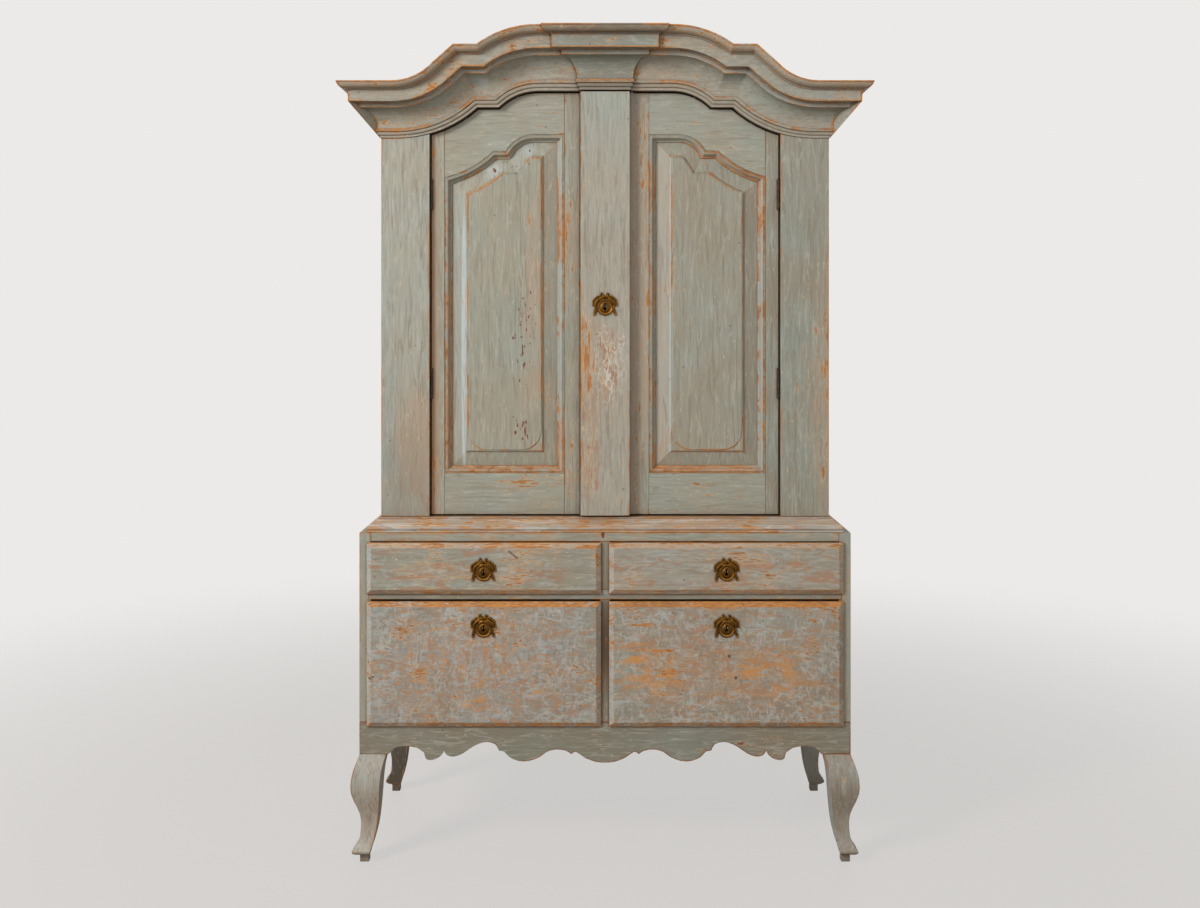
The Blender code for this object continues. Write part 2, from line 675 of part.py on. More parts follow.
# One drawer: a lipped and bevelled front, an open tray and a cast key plate
def drawer(row, word, paint, wood, brass):
    side = SIDES[word]
    lower = row == "lower"
    floor_z = FLOOR_OF_DRAWERS if lower else DUST_TOP_Z
    height = LOWER_OPENING_HEIGHT if lower else UPPER_OPENING_HEIGHT
    frame = axis_frame(f"drawer_{row}_{word}", (side * DRAWER_KEY_X, FRONT_Y, floor_z))
    inner, outer = PARTITION_HALF + RUN_GAP, BASE_INNER - RUN_GAP
    lip_inner = PARTITION_HALF - LIP_MIDDLE_COVER
    lip_outer = BASE_INNER + LIP_SIDE_COVER
    lip_low = floor_z - LIP_BOTTOM_COVER
    lip_high = floor_z + height - (LIP_TOP_GAP_LOWER if lower else LIP_TOP_GAP_UPPER)
    base_z = floor_z + SEAT_GAP
    tray_top = base_z + height * TRAY_HEIGHT_SHARE

    def ring(x_low, x_high, z_low, z_high, y):
        corners = [(x_low, z_low), (x_high, z_low), (x_high, z_high), (x_low, z_high)]
        return [(side * x, y, z) for x, z in corners]

    bevel = DRAWER_BEVEL_WIDTH
    lip_y = FRONT_Y - SEAT_GAP
    face_y = lip_y - DRAWER_LIP - DRAWER_BEVEL_DEPTH
    front = loft(f"drawer_front_{row}_{word}", [
        ring(inner, outer, base_z, tray_top, FRONT_Y + DRAWER_TAIL),
        ring(inner, outer, base_z, tray_top, lip_y),
        ring(lip_inner, lip_outer, lip_low, lip_high, lip_y),
        ring(lip_inner, lip_outer, lip_low, lip_high, lip_y - DRAWER_LIP),
        ring(lip_inner + bevel, lip_outer - bevel, lip_low + bevel, lip_high - bevel, face_y),
    ], paint, frame)

    tray_y = (FRONT_Y + DRAWER_TAIL + SEAT_GAP, INNER_BACK_Y - DRAWER_STOP_GAP)
    tray = box(f"drawer_tray_{row}_{word}", (side * inner, side * outer), tray_y,
               (base_z, tray_top), wood, frame)
    hollow_x = (side * (inner + TRAY_WALL), side * (outer - TRAY_WALL))
    hollow_y = (tray_y[0] - CUT_OVERRUN, tray_y[1] - TRAY_WALL)
    hollow_z = (base_z + TRAY_BOTTOM, tray_top + CUT_OVERRUN)
    carve(tray, box(f"drawer_hollow_{row}_{word}", hollow_x, hollow_y, hollow_z, wood, frame))

    key_x = side * DRAWER_KEY_X
    key_z = lip_high - (LOWER_KEY_DROP if lower else UPPER_KEY_DROP)
    hole_y = (FRONT_Y + DRAWER_TAIL + CUT_OVERRUN, face_y - CUT_OVERRUN)
    carve(front, keyhole(f"drawer_keyhole_{row}_{word}", key_x, key_z, hole_y, paint))
    key_plate(f"key_plate_{row}_{word}", key_x, face_y - SEAT_GAP, key_z, brass, frame)


def upper_sides(paint):
    for word, side in SIDES.items():
        piece = box(f"upper_side_{word}", (side * UPPER_HALF, side * UPPER_INNER),
                    (FACE_BACK_Y + SEAT_GAP, INNER_BACK_Y), (UPPER_Z, CORNICE_Z + CORNICE_HEIGHT), paint)
        housing = (side * (UPPER_INNER - CUT_OVERRUN), side * (UPPER_INNER + HOUSING_DEPTH))
        front = DOOR_BACK_Y + SEAT_GAP
        bottom_z = (UPPER_Z - CUT_OVERRUN, UPPER_Z + UPPER_BOARD_THICKNESS)
        boards_housed_in(piece, "bottom", housing, (front, INNER_BACK_Y), bottom_z, paint)
        shelf_z = (UPPER_Z + SHELF_HEIGHT, UPPER_Z + SHELF_HEIGHT + UPPER_BOARD_THICKNESS)
        shelf_y = (front + SHELF_SETBACK, INNER_BACK_Y)
        boards_housed_in(piece, "shelf", housing, shelf_y, shelf_z, paint)


def upper_boards(wood):
    reach = UPPER_INNER + HOUSING_DEPTH - SEAT_GAP
    front = DOOR_BACK_Y + SEAT_GAP
    box("upper_bottom", (-reach, reach), (front, INNER_BACK_Y),
        (UPPER_Z, UPPER_Z + UPPER_BOARD_THICKNESS), wood)
    shelf_z = UPPER_Z + SHELF_HEIGHT
    box("shelf", (-reach, reach), (front + SHELF_SETBACK, INNER_BACK_Y),
        (shelf_z, shelf_z + UPPER_BOARD_THICKNESS), wood)


# The serpentine line raised by a height, cut off at both ends
def raised_sweep(rise, half_width):
    return [(max(-half_width, min(half_width, x)), z) for x, z in serpentine_at(rise)]


def roof(wood):
    half = UPPER_INNER - SEAT_GAP
    under = raised_sweep(ROOF_RISE, half)
    over = raised_sweep(ROOF_RISE + ROOF_THICKNESS, half)
    front_prism("roof", under + over[::-1], FACE_BACK_Y + SEAT_GAP, INNER_BACK_Y, wood)


def upper_back(wood):
    top = raised_sweep(ROOF_RISE + ROOF_THICKNESS, UPPER_HALF)
    outline = [(UPPER_HALF, UPPER_Z), (-UPPER_HALF, UPPER_Z)]
    front_prism("upper_back", outline + top, BACK_Y - BACK_THICKNESS, BACK_Y, wood)


def face_stiles(paint):
    left_top = sweep_between(-UPPER_HALF, -DOOR_FRAME_EDGE, SEAT_GAP)
    for word, side in SIDES.items():
        outline = [(-DOOR_FRAME_EDGE, UPPER_Z), (-UPPER_HALF, UPPER_Z), *left_top]
        outline = [(-side * x, z) for x, z in outline]
        front_prism(f"face_stile_{word}", outline, UPPER_Y, FACE_BACK_Y, paint)


def keystone_rings(spread, back_y, overrun):
    swell = swell_at(SWEEP_PEAK_Z)
    section = [(height * swell, reach) for height, reach in cornice_section()]
    section = [(section[0][0] - overrun, section[0][1]), *section[1:-1],
               (section[-1][0] + overrun, section[-1][1])]
    rings = []
    for height, reach in section:
        half = PILASTER_HALF + reach + spread
        front = UPPER_Y - KEYSTONE_BREAK - reach - overrun
        z = SWEEP_PEAK_Z + height
        rings.append([(-half, front, z), (half, front, z), (half, back_y, z), (-half, back_y, z)])
    return rings


# The front moulding follows the serpentine and is mitred at the corners of the case
def cornice_front(paint):
    section = cornice_section()
    top = section[-1][0]
    rings = []
    for index, (x, z) in enumerate(SWEEP):
        swell = swell_at(z)
        at_corner = abs(x) >= UPPER_HALF
        side = 1 if x > 0 else -1
        ring = []
        for height, reach in [(0, 0), *section, (top, 0)]:
            x_raised, z_raised = serpentine_at(height * swell)[index]
            outward = side * reach if at_corner else 0
            ring.append((x_raised + outward, UPPER_Y - reach, z_raised))
        x_top, _, z_top = ring[-1]
        ring += [(x_top, FACE_BACK_Y, z_top), (x, FACE_BACK_Y, z)]
        rings.append(ring)
    count = len(rings[0])
    caps = [range(count - 2), (count - 3, count - 2, count - 1, 0)]
    cornice = loft("cornice_front", rings, paint, caps=caps)
    tool = loft("keystone_seat", keystone_rings(SEAT_GAP, UPPER_Y, CUT_OVERRUN), paint)
    carve(cornice, tool)


def keystone(paint):
    loft("keystone", keystone_rings(0, UPPER_Y - SEAT_GAP, 0), paint)


# Plain splayed boards that carry the cornice back along the sides
def cornice_returns(paint):
    section = cornice_section(splayed=True)
    for word, side in SIDES.items():
        front_ring = []
        back_ring = []
        for height, reach in [(0, 0), *section, (CORNICE_HEIGHT, 0)]:
            x = side * (UPPER_HALF + SEAT_GAP + reach)
            z = CORNICE_Z + height
            front_ring.append((x, UPPER_Y - reach + SEAT_GAP * 2, z))
            back_ring.append((x, BACK_Y, z))
        loft(f"cornice_return_{word}", [front_ring, back_ring], paint)


# Head of the panel opening from its outer corner to the meeting side, in door coordinates
def opening_head(inner):
    width = OPENING_OUTER - inner
    moves = [
        ("arc", width * HEAD_RISE_SHARE, HEAD_RISE_ANGLE, HEAD_STEPS),
        ("turn", 0, -HEAD_START_ANGLE - HEAD_RISE_ANGLE, 0),
        ("line", width * HEAD_FLAT_SHARE, 0, 1),
        ("turn", 0, HEAD_CROWN_ANGLE, 0),
        ("arc", width * HEAD_CROWN_SHARE, -HEAD_CROWN_ANGLE, HEAD_STEPS),
    ]
    line = pen_line((-OPENING_OUTER, 0), HEAD_START_ANGLE, moves)
    line.append((-inner, line[-1][1]))
    lift = SWEEP_PEAK_Z - TOP_RAIL_WIDTH - line[-1][1]
    return [(x, z + lift) for x, z in line]


# Closed outline of the opening, run so that a positive offset goes into the opening
def opening_loop(inner):
    head = opening_head(inner)
    return [(-OPENING_OUTER, OPENING_Z), (-inner, OPENING_Z), *head[::-1]]


# Line inside the opening, where the sharp outer corner of the head passes the short runs beside it
def inset_line(outline, inset):
    loop = offset_line(outline, inset, closed=True)
    x_corner = loop[-1][0]
    passed = 0
    while loop[-2 - passed][0] <= x_corner:
        passed += 1
    if passed:
        near, far = loop[-1 - passed], loop[-2 - passed]
        z_corner = height_at([near, far], x_corner)
        for step in range(passed + 1):
            share = step / (passed + 1)
            loop[-1 - step] = (x_corner + (far[0] - x_corner) * share,
                               z_corner + (far[1] - z_corner) * share)
    return loop


def mirrored(points, side):
    return [(-side * x, z) for x, z in points]


def loop_at(outline, side, inset, depth):
    moved = mirrored(inset_line(outline, inset), side)
    return [(x, DOOR_Y + depth, z) for x, z in moved]


def tenon_joint(rail, stile, name, x_end, direction, z_range, parent, paint):
    y_low = DOOR_Y + TENON_INSET
    y_range = (y_low, y_low + TENON_THICKNESS)
    reach = (x_end - direction * CUT_OVERRUN, x_end + direction * TENON_LENGTH)
    join(rail, box(f"{name}_tenon", reach, y_range, z_range, paint, parent))
    socket_x = (x_end - direction * CUT_OVERRUN, x_end + direction * (TENON_LENGTH + SEAT_GAP))
    socket_y = (y_range[0] - SEAT_GAP, y_range[1] + SEAT_GAP)
    socket_z = (z_range[0] - SEAT_GAP, z_range[1] + SEAT_GAP)
    carve(stile, box(f"{name}_mortise", socket_x, socket_y, socket_z, paint, parent))


# Frame of a door: two stiles and two rails, tenoned together and grooved for the panel
def door_frame(word, meeting, inner, parent, paint):
    side = SIDES[word]
    y_range = (DOOR_Y, DOOR_BACK_Y)

    def shaped_top(start, end):
        return sweep_between(start, end, DOOR_GAP)

    def piece(name, outline):
        return front_prism(f"{name}_{word}", mirrored(outline, side), *y_range, paint, parent)

    stile_edge = OPENING_OUTER + SEAT_GAP
    hinge_stile = piece("hinge_stile", [
        (-stile_edge, DOOR_Z), (-DOOR_OUTER, DOOR_Z), *shaped_top(-DOOR_OUTER, -stile_edge)])
    inner_edge = inner - SEAT_GAP
    meeting_stile = piece("meeting_stile", [
        (-meeting, DOOR_Z), (-inner_edge, DOOR_Z), *shaped_top(-inner_edge, -meeting)])
    head = opening_head(inner)
    top = piece("door_top_rail", shaped_top(-OPENING_OUTER, -inner) + head[::-1])
    bottom = piece("door_bottom_rail", [
        (-OPENING_OUTER, DOOR_Z), (-inner, DOOR_Z), (-inner, OPENING_Z), (-OPENING_OUTER, OPENING_Z)])

    door_top = shaped_top(-OPENING_OUTER, -inner)
    ends = (
        ("outer", hinge_stile, OPENING_OUTER, 1, head[0][1], door_top[0][1]),
        ("inner", meeting_stile, inner, -1, head[-1][1], door_top[-1][1]),
    )
    for end, stile, place, outward, low, high in ends:
        x_end = side * place
        direction = side * outward
        for rail, level, z_low, z_high in (
            (bottom, "bottom", DOOR_Z, OPENING_Z), (top, "top", low, high),
        ):
            z_range = (z_low + TENON_SHOULDER, z_high - TENON_SHOULDER)
            tenon_joint(rail, stile, f"{word}_{end}_{level}", x_end, direction, z_range, parent, paint)

    outline = opening_loop(inner)
    groove_front = MOULDING_SINK + MOULDING_DEPTH
    groove_back = groove_front + TONGUE_THICKNESS + 2 * SEAT_GAP
    for member in (hinge_stile, meeting_stile, top, bottom):
        loops = [loop_at(outline, side, -PANEL_TONGUE - GROOVE_GAP, depth)
                 for depth in (groove_front, groove_back)]
        carve(member, loft(f"{member.name}_groove", loops, paint, parent))
    return meeting_stile


def panel_moulding(word, inner, parent, paint):
    side = SIDES[word]
    outline = opening_loop(inner)
    width = MOULDING_WIDTH - SEAT_GAP
    loops = []
    for across, depth in MOULDING_SHARES:
        inset = SEAT_GAP + width * across
        loops.append(loop_at(outline, side, inset, MOULDING_SINK + MOULDING_DEPTH * depth))
    frame_ring(f"panel_moulding_{word}", loops, paint, parent)


# Outline of the raised field, whose lower corners are cut by a round nosing
def field_outline(outline):
    inset = MOULDING_WIDTH + BEVEL_WIDTH + FIELD_INSET
    loop = inset_line(outline, inset)
    (x_low, z_low), (x_high, _), *upper = loop
    foot = []
    for x_corner, inward, order in ((x_low, 1, 1), (x_high, -1, -1)):
        arc = []
        for step in range(FIELD_CORNER_STEPS + 1):
            angle = math.pi / 2 * step / FIELD_CORNER_STEPS
            arc.append((x_corner + inward * FIELD_CORNER * (1 - math.cos(angle)),
                        z_low + FIELD_CORNER * (1 - math.sin(angle))))
        foot += arc[::order]
    return foot + upper


def door_panel(word, inner, parent, paint):
    side = SIDES[word]
    outline = opening_loop(inner)
    tongue_front = MOULDING_SINK + MOULDING_DEPTH + SEAT_GAP
    tongue_back = tongue_front + TONGUE_THICKNESS
    step_depth = tongue_front - BEVEL_RISE
    step_inset = MOULDING_WIDTH + BEVEL_WIDTH
    rings = [
        loop_at(outline, side, -PANEL_TONGUE, tongue_back),
        loop_at(outline, side, -PANEL_TONGUE, tongue_front),
        loop_at(outline, side, MOULDING_WIDTH, tongue_front),
        loop_at(outline, side, step_inset - PANEL_STEP_WIDTH, step_depth),
        loop_at(outline, side, step_inset, step_depth - PANEL_STEP),
    ]
    panel = loft(f"door_panel_{word}", rings, paint, parent)
    face = step_depth - PANEL_STEP
    field = field_outline(outline)
    round_off = FIELD_RISE / 2
    levels = ((0, step_depth), (0, face - round_off), (round_off, face - FIELD_RISE))
    rings = []
    for inset, depth in levels:
        moved = mirrored(offset_line(field, inset, closed=True), side)
        rings.append([(x, DOOR_Y + depth, z) for x, z in moved])
    join(panel, loft(f"door_field_{word}", rings, paint, parent))


# The fixed leaf carries the outer knuckles and the pin, the moving leaf the middle knuckle
def hinge(level, word, height, parent, iron):
    side = SIDES[word]
    low = UPPER_Z + height
    third = HINGE_LENGTH / 3

    def strip(name, near, far, front, back, z_low, z_high, owner):
        x_range = (side * (DOOR_FRAME_EDGE - near), side * (DOOR_FRAME_EDGE - far))
        return box(name, x_range, (DOOR_Y + front, DOOR_Y + back), (z_low, z_high), iron, owner)

    def round_bar(name, radius, z_low, z_high, owner):
        outline = []
        for step in range(KNUCKLE_SIDES):
            angle = math.tau * (step + 0.5) / KNUCKLE_SIDES
            outline.append((side * AXIS_X + radius * math.cos(angle), AXIS_Y + radius * math.sin(angle)))
        return plan_prism(name, outline, z_low, z_high, iron, owner)

    fixed_near = SEAT_GAP
    fixed_far = SEAT_GAP + HINGE_LEAF
    moving_far = DOOR_EDGE_GAP - SEAT_GAP
    moving_near = moving_far - HINGE_LEAF
    leaf_front = SEAT_GAP
    web_front = -KNUCKLE_RADIUS * WEB_FRONT_SHARE
    web_back = -KNUCKLE_RADIUS * WEB_BACK_SHARE

    fixed = strip(f"hinge_fixed_{level}_{word}", fixed_near, fixed_far, leaf_front, HINGE_LEAF_WIDTH,
                  low, low + HINGE_LENGTH, None)
    bands = ((low, low + third - KNUCKLE_GAP), (low + 2 * third + KNUCKLE_GAP, low + HINGE_LENGTH))
    for index, (z_low, z_high) in enumerate(bands):
        name = f"{level}_{word}_{index}"
        wing = strip(f"wing_{name}", fixed_near, fixed_far, web_front, leaf_front + HINGE_LEAF,
                     z_low, z_high, None)
        join(fixed, wing)
        web_reach = AXIS_OFFSET - KNUCKLE_RADIUS * WEB_BACK_SHARE
        web = strip(f"web_{name}", fixed_near, web_reach, web_front, web_back, z_low, z_high, None)
        join(fixed, web)
        join(fixed, round_bar(f"knuckle_{name}", KNUCKLE_RADIUS, z_low, z_high, None))
    pin_ends = (low + KNUCKLE_GAP, low + HINGE_LENGTH - KNUCKLE_GAP)
    join(fixed, round_bar(f"pin_{level}_{word}", PIN_RADIUS, *pin_ends, None))

    moving = strip(f"hinge_moving_{level}_{word}", moving_near, moving_far, leaf_front,
                   HINGE_LEAF_WIDTH, low, low + HINGE_LENGTH, parent)
    middle = (low + third, low + 2 * third)
    tab = strip(f"tab_{level}_{word}", moving_near, moving_far, web_back, leaf_front + HINGE_LEAF,
                *middle, parent)
    join(moving, tab)
    join(moving, round_bar(f"eye_{level}_{word}", KNUCKLE_RADIUS, *middle, parent))
    bore_ends = (middle[0] - CUT_OVERRUN, middle[1] + CUT_OVERRUN)
    carve(moving, round_bar(f"bore_{level}_{word}", BORE_RADIUS, *bore_ends, parent))


def left_door(paint, iron):
    frame = axis_frame("door_left", (-AXIS_X, AXIS_Y, UPPER_Z))
    door_frame("left", LEFT_MEETING, LEFT_OPENING_EDGE, frame, paint)
    panel_moulding("left", LEFT_OPENING_EDGE, frame, paint)
    door_panel("left", LEFT_OPENING_EDGE, frame, paint)
    hinge("lower", "left", LOWER_HINGE_HEIGHT, frame, iron)
    hinge("upper", "left", UPPER_HINGE_HEIGHT, frame, iron)


# The right door has the wide meeting stile, with the pilaster, the key plate and the lock
def right_door(paint, brass, iron):
    frame = axis_frame("door_right", (AXIS_X, AXIS_Y, UPPER_Z))
    stile = door_frame("right", RIGHT_MEETING, RIGHT_OPENING_EDGE, frame, paint)
    panel_moulding("right", RIGHT_OPENING_EDGE, frame, paint)
    door_panel("right", RIGHT_OPENING_EDGE, frame, paint)
    hinge("lower", "right", LOWER_HINGE_HEIGHT, frame, iron)
    hinge("upper", "right", UPPER_HINGE_HEIGHT, frame, iron)

    back = DOOR_Y - SEAT_GAP
    front = DOOR_Y - PILASTER_THICKNESS
    pilaster = box("pilaster", (-PILASTER_HALF, PILASTER_HALF), (front, back),
                   (DOOR_Z, SWEEP_PEAK_Z - DOOR_GAP), paint, frame)
    lock = lock_case(iron, frame)
    hole_y = (DOOR_BACK_Y + LOCK_DEPTH / 2, front - CUT_OVERRUN)
    for index, piece in enumerate((stile, pilaster, lock)):
        carve(piece, keyhole(f"door_keyhole_{index}", 0, KEY_Z, hole_y, paint))
    key_plate("key_plate_door", 0, front - SEAT_GAP, KEY_Z, brass, frame)


# Rim lock: a box on a thin plate screwed to the back of the stile
def lock_case(iron, parent):
    def ring(inset, depth):
        half = LOCK_WIDTH / 2 - inset
        tall = LOCK_TALL / 2 - inset
        corners = [(-half, -tall), (half, -tall), (half, tall), (-half, tall)]
        return [(x, DOOR_BACK_Y + SEAT_GAP + depth, KEY_Z + z) for x, z in corners]

    rings = [
        ring(0, 0), ring(0, LOCK_PLATE), ring(LOCK_RIM, LOCK_PLATE),
        ring(LOCK_RIM, LOCK_DEPTH - LOCK_PLATE), ring(LOCK_RIM + LOCK_PLATE, LOCK_DEPTH),
    ]
    return loft("door_lock", rings, iron, parent)


def build():
    for thing in list(bpy.data.objects):
        bpy.data.objects.remove(thing)
    paint = painted_pine()
    wood = raw_pine()
    brass = cast_brass()
    iron = forged_iron()

    base_sides(paint)
    base_boards(paint, wood)
    partition(paint)
    top_rail(paint)
    apron(paint)
    for word, side in SIDES.items():
        leg(f"leg_front_{word}", side, True, paint)
        leg(f"leg_rear_{word}", side, False, paint)
    waist_board(paint)
    for row in ("lower", "upper"):
        for word in SIDES:
            drawer(row, word, paint, wood, brass)

    upper_sides(paint)
    upper_boards(wood)
    roof(wood)
    upper_back(wood)
    face_stiles(paint)
    cornice_front(paint)
    keystone(paint)
    cornice_returns(paint)
    left_door(paint, iron)
    right_door(paint, brass, iron)


build()
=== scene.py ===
import math
import random
from functools import partial

import bmesh
import bpy
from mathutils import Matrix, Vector
from mathutils.geometry import tessellate_polygon


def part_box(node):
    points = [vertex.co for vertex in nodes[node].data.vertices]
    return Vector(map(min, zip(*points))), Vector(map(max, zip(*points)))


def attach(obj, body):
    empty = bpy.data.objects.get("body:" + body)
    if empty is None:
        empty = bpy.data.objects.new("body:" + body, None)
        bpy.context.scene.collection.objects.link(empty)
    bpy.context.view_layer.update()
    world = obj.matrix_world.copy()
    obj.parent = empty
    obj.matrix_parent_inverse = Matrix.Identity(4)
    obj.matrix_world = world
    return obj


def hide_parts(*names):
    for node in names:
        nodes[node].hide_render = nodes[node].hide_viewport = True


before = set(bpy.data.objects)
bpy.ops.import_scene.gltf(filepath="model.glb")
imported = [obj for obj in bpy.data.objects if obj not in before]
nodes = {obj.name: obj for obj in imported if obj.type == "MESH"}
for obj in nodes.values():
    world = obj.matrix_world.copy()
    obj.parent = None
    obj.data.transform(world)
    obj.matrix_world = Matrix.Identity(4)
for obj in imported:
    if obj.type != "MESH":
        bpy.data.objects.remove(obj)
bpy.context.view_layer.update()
print("frame loaded:", len(nodes), "CAD nodes")


def toLinear(hexColour):
    channels = [int(hexColour[i:i + 2], 16) / 255 for i in (1, 3, 5)]
    return (*[c / 12.92 if c <= 0.04045 else ((c + 0.055) / 1.055) ** 2.4 for c in channels], 1.0)


# Adds one node with its settings and its links or values, and gives back one of its sockets; the
# kind of a shader node goes without Blender's prefix
def addNode(tree, kind, inputs=None, out=0, **settings):
    made = tree.nodes.new(kind if "Node" in kind else "ShaderNode" + kind)
    for name, value in settings.items():
        setattr(made, name, value)
    for place, value in (inputs or {}).items():
        if isinstance(value, bpy.types.NodeSocket):
            tree.links.new(value, made.inputs[place])
        else:
            made.inputs[place].default_value = value
    return made.outputs[out] if made.outputs else made


def addObject(name, data):
    made = bpy.data.objects.new(name, data)
    bpy.context.scene.collection.objects.link(made)
    return made


# Gives back the material, the function that adds its nodes, and its shader
def newMaterial(name, roughness, metallic=0.0):
    material = bpy.data.materials.new(name)
    material.use_nodes = True
    shader = material.node_tree.nodes["Principled BSDF"]
    shader.inputs["Roughness"].default_value = roughness
    shader.inputs["Metallic"].default_value = metallic
    return material, partial(addNode, material.node_tree), shader


# Lays coats over a ground. A coat is a colour and its share, or a colour and a pattern with the two
# levels of the pattern between which it sets in and the shares that it has at them
def layCoats(add, tone, coats):
    for colour, share, *span in coats:
        if span:
            low, high, first, last = span
            share = add("MapRange", {
                "Value": share, "From Min": low, "From Max": high, "To Min": first, "To Max": last})
        sides = [toLinear(side) if isinstance(side, str) else side for side in (tone, colour)]
        tone = add("MixRGB", {"Fac": share, "Color1": sides[0], "Color2": sides[1]})
    return tone


# Gives the shader its colour and a fine relief of the given depth in metres
def finishSurface(add, shader, tone, height, strength, depth):
    bump = add("Bump", {"Height": height, "Strength": strength, "Distance": depth})
    shader.id_data.links.new(tone, shader.inputs["Base Color"])
    shader.id_data.links.new(bump, shader.inputs["Normal"])


cameraLook = {
    "fromFront": 2.80,  # metres in front of the lower case
    "height": 1.155, "lens": 39.2, "shiftX": -0.0042, "shiftY": -0.1092,
}
lightLook = {
    "keyPlace": (-3.0, -2.9, 2.9), "keySize": 1.3, "keyPower": 130,
    "fillPlace": (0.9, -3.8, 2.0), "fillSize": 2.2, "fillPower": 35,
    "aim": (0.0, 0.0, 0.95),
    "worldColour": "#eceae8", "worldPower": 0.36, "groundPower": 0.17, "horizonBlend": 0.3,
    "floorColour": "#a39d96", "floorRadius": 9.0, "floorSides": 64,
    "fadeFrom": 0.9, "fadeTo": 3.4, "floorGlow": 0.66,
}


def makeCamera():
    camera = addObject("camera", bpy.data.cameras.new("camera"))
    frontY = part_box("base_side_left")[0].y
    camera.location = (0, frontY - cameraLook["fromFront"], cameraLook["height"])
    camera.rotation_euler = (math.radians(90), 0, 0)
    camera.data.sensor_width = 36
    camera.data.lens = cameraLook["lens"]
    camera.data.shift_x = cameraLook["shiftX"]
    camera.data.shift_y = cameraLook["shiftY"]
    bpy.context.scene.camera = camera


def makeLamp(name):
    lamp = bpy.data.lights.new(name + "Lamp", "AREA")
    lamp.shape = "DISK"
    lamp.size = lightLook[name + "Size"]
    lamp.energy = lightLook[name + "Power"]
    holder = addObject(name + "Lamp", lamp)
    holder.location = lightLook[name + "Place"]
    holder.rotation_euler = (Vector(lightLook["aim"]) - holder.location).to_track_quat("-Z", "Y").to_euler()


def makeWorld():
    world = bpy.data.worlds.new("studio")
    world.use_nodes = True
    bpy.context.scene.world = world
    world.node_tree.nodes.clear()
    add = partial(addNode, world.node_tree)
    direct = add("LightPath", out="Is Camera Ray")
    seen = add("Math", {0: direct, 1: direct.node.outputs["Is Glossy Ray"]}, operation="MAXIMUM")
    pale = toLinear(lightLook["worldColour"])
    direction = add("TexCoord", out="Generated")
    upward = add("SeparateXYZ", {0: direction}, out="Z")
    power = add("MapRange", {
        "Value": upward, "From Min": -lightLook["horizonBlend"], "From Max": lightLook["horizonBlend"],
        "To Min": lightLook["groundPower"], "To Max": lightLook["worldPower"]})
    lit = add("Background", {"Color": pale, "Strength": power})
    shown = add("Background", {"Color": pale, "Strength": 1.0})
    both = add("MixShader", {0: seen, 1: lit, 2: shown})
    add("OutputWorld", {"Surface": both})


# Pale painted floor that fades into the background, so no horizon line crosses the view
def makeFloor():
    radius, sides = lightLook["floorRadius"], lightLook["floorSides"]
    mesh = bpy.data.meshes.new("floor")
    turns = [math.tau * i / sides for i in range(sides)]
    rim = [(radius * math.cos(turn), radius * math.sin(turn), 0) for turn in turns]
    mesh.from_pydata(rim, [], [range(sides)])
    floor = addObject("floor", mesh)
    material, add, shader = newMaterial("paleFloor", roughness=0.55)
    shader.inputs["Base Color"].default_value = toLinear(lightLook["floorColour"])
    place = add("TexCoord", out="Object")
    away = add("VectorMath", {0: place}, out="Value", operation="LENGTH")
    faded = add("MapRange", {
        "Value": away, "From Min": lightLook["fadeFrom"], "From Max": lightLook["fadeTo"],
    }, interpolation_type="SMOOTHSTEP")
    clear = add("BsdfTransparent")
    seen = add("LightPath", out="Is Camera Ray")
    share = add("Math", {0: seen, 1: lightLook["floorGlow"]}, operation="MULTIPLY")
    glow = add("Emission", {"Color": toLinear(lightLook["worldColour"]), "Strength": 1.0})
    shown = add("MixShader", {0: share, 1: shader.outputs[0], 2: glow})
    both = add("MixShader", {0: faded, 1: shown, 2: clear})
    material.node_tree.links.new(both, material.node_tree.nodes["Material Output"].inputs["Surface"])
    floor.data.materials.append(material)


makeCamera()
makeLamp("key")
makeLamp("fill")
makeWorld()
makeFloor()
bpy.context.scene.view_settings.view_transform = "Standard"
print("camera, lamps and floor in place")


# Bare pine: flat-sawn softwood, planed by hand and brown with age, so its grain shows as
# darker lines about 4 mm apart with knots between them; sizes in metres
pineLook = {
    "light": "#b98d5c", "dark": "#8a5f39", "line": "#6d4526", "knot": "#55331c", "recessDark": "#4a3423",
    "driftSize": 1 / 9, "ringSpacing": 0.0045, "waver": 0.144, "fibreSize": 1 / 420, "knotSpacing": 0.22,
    "plankShade": 0.45, "plankShift": 7.0,  # what tells one plank of a board from the next
}


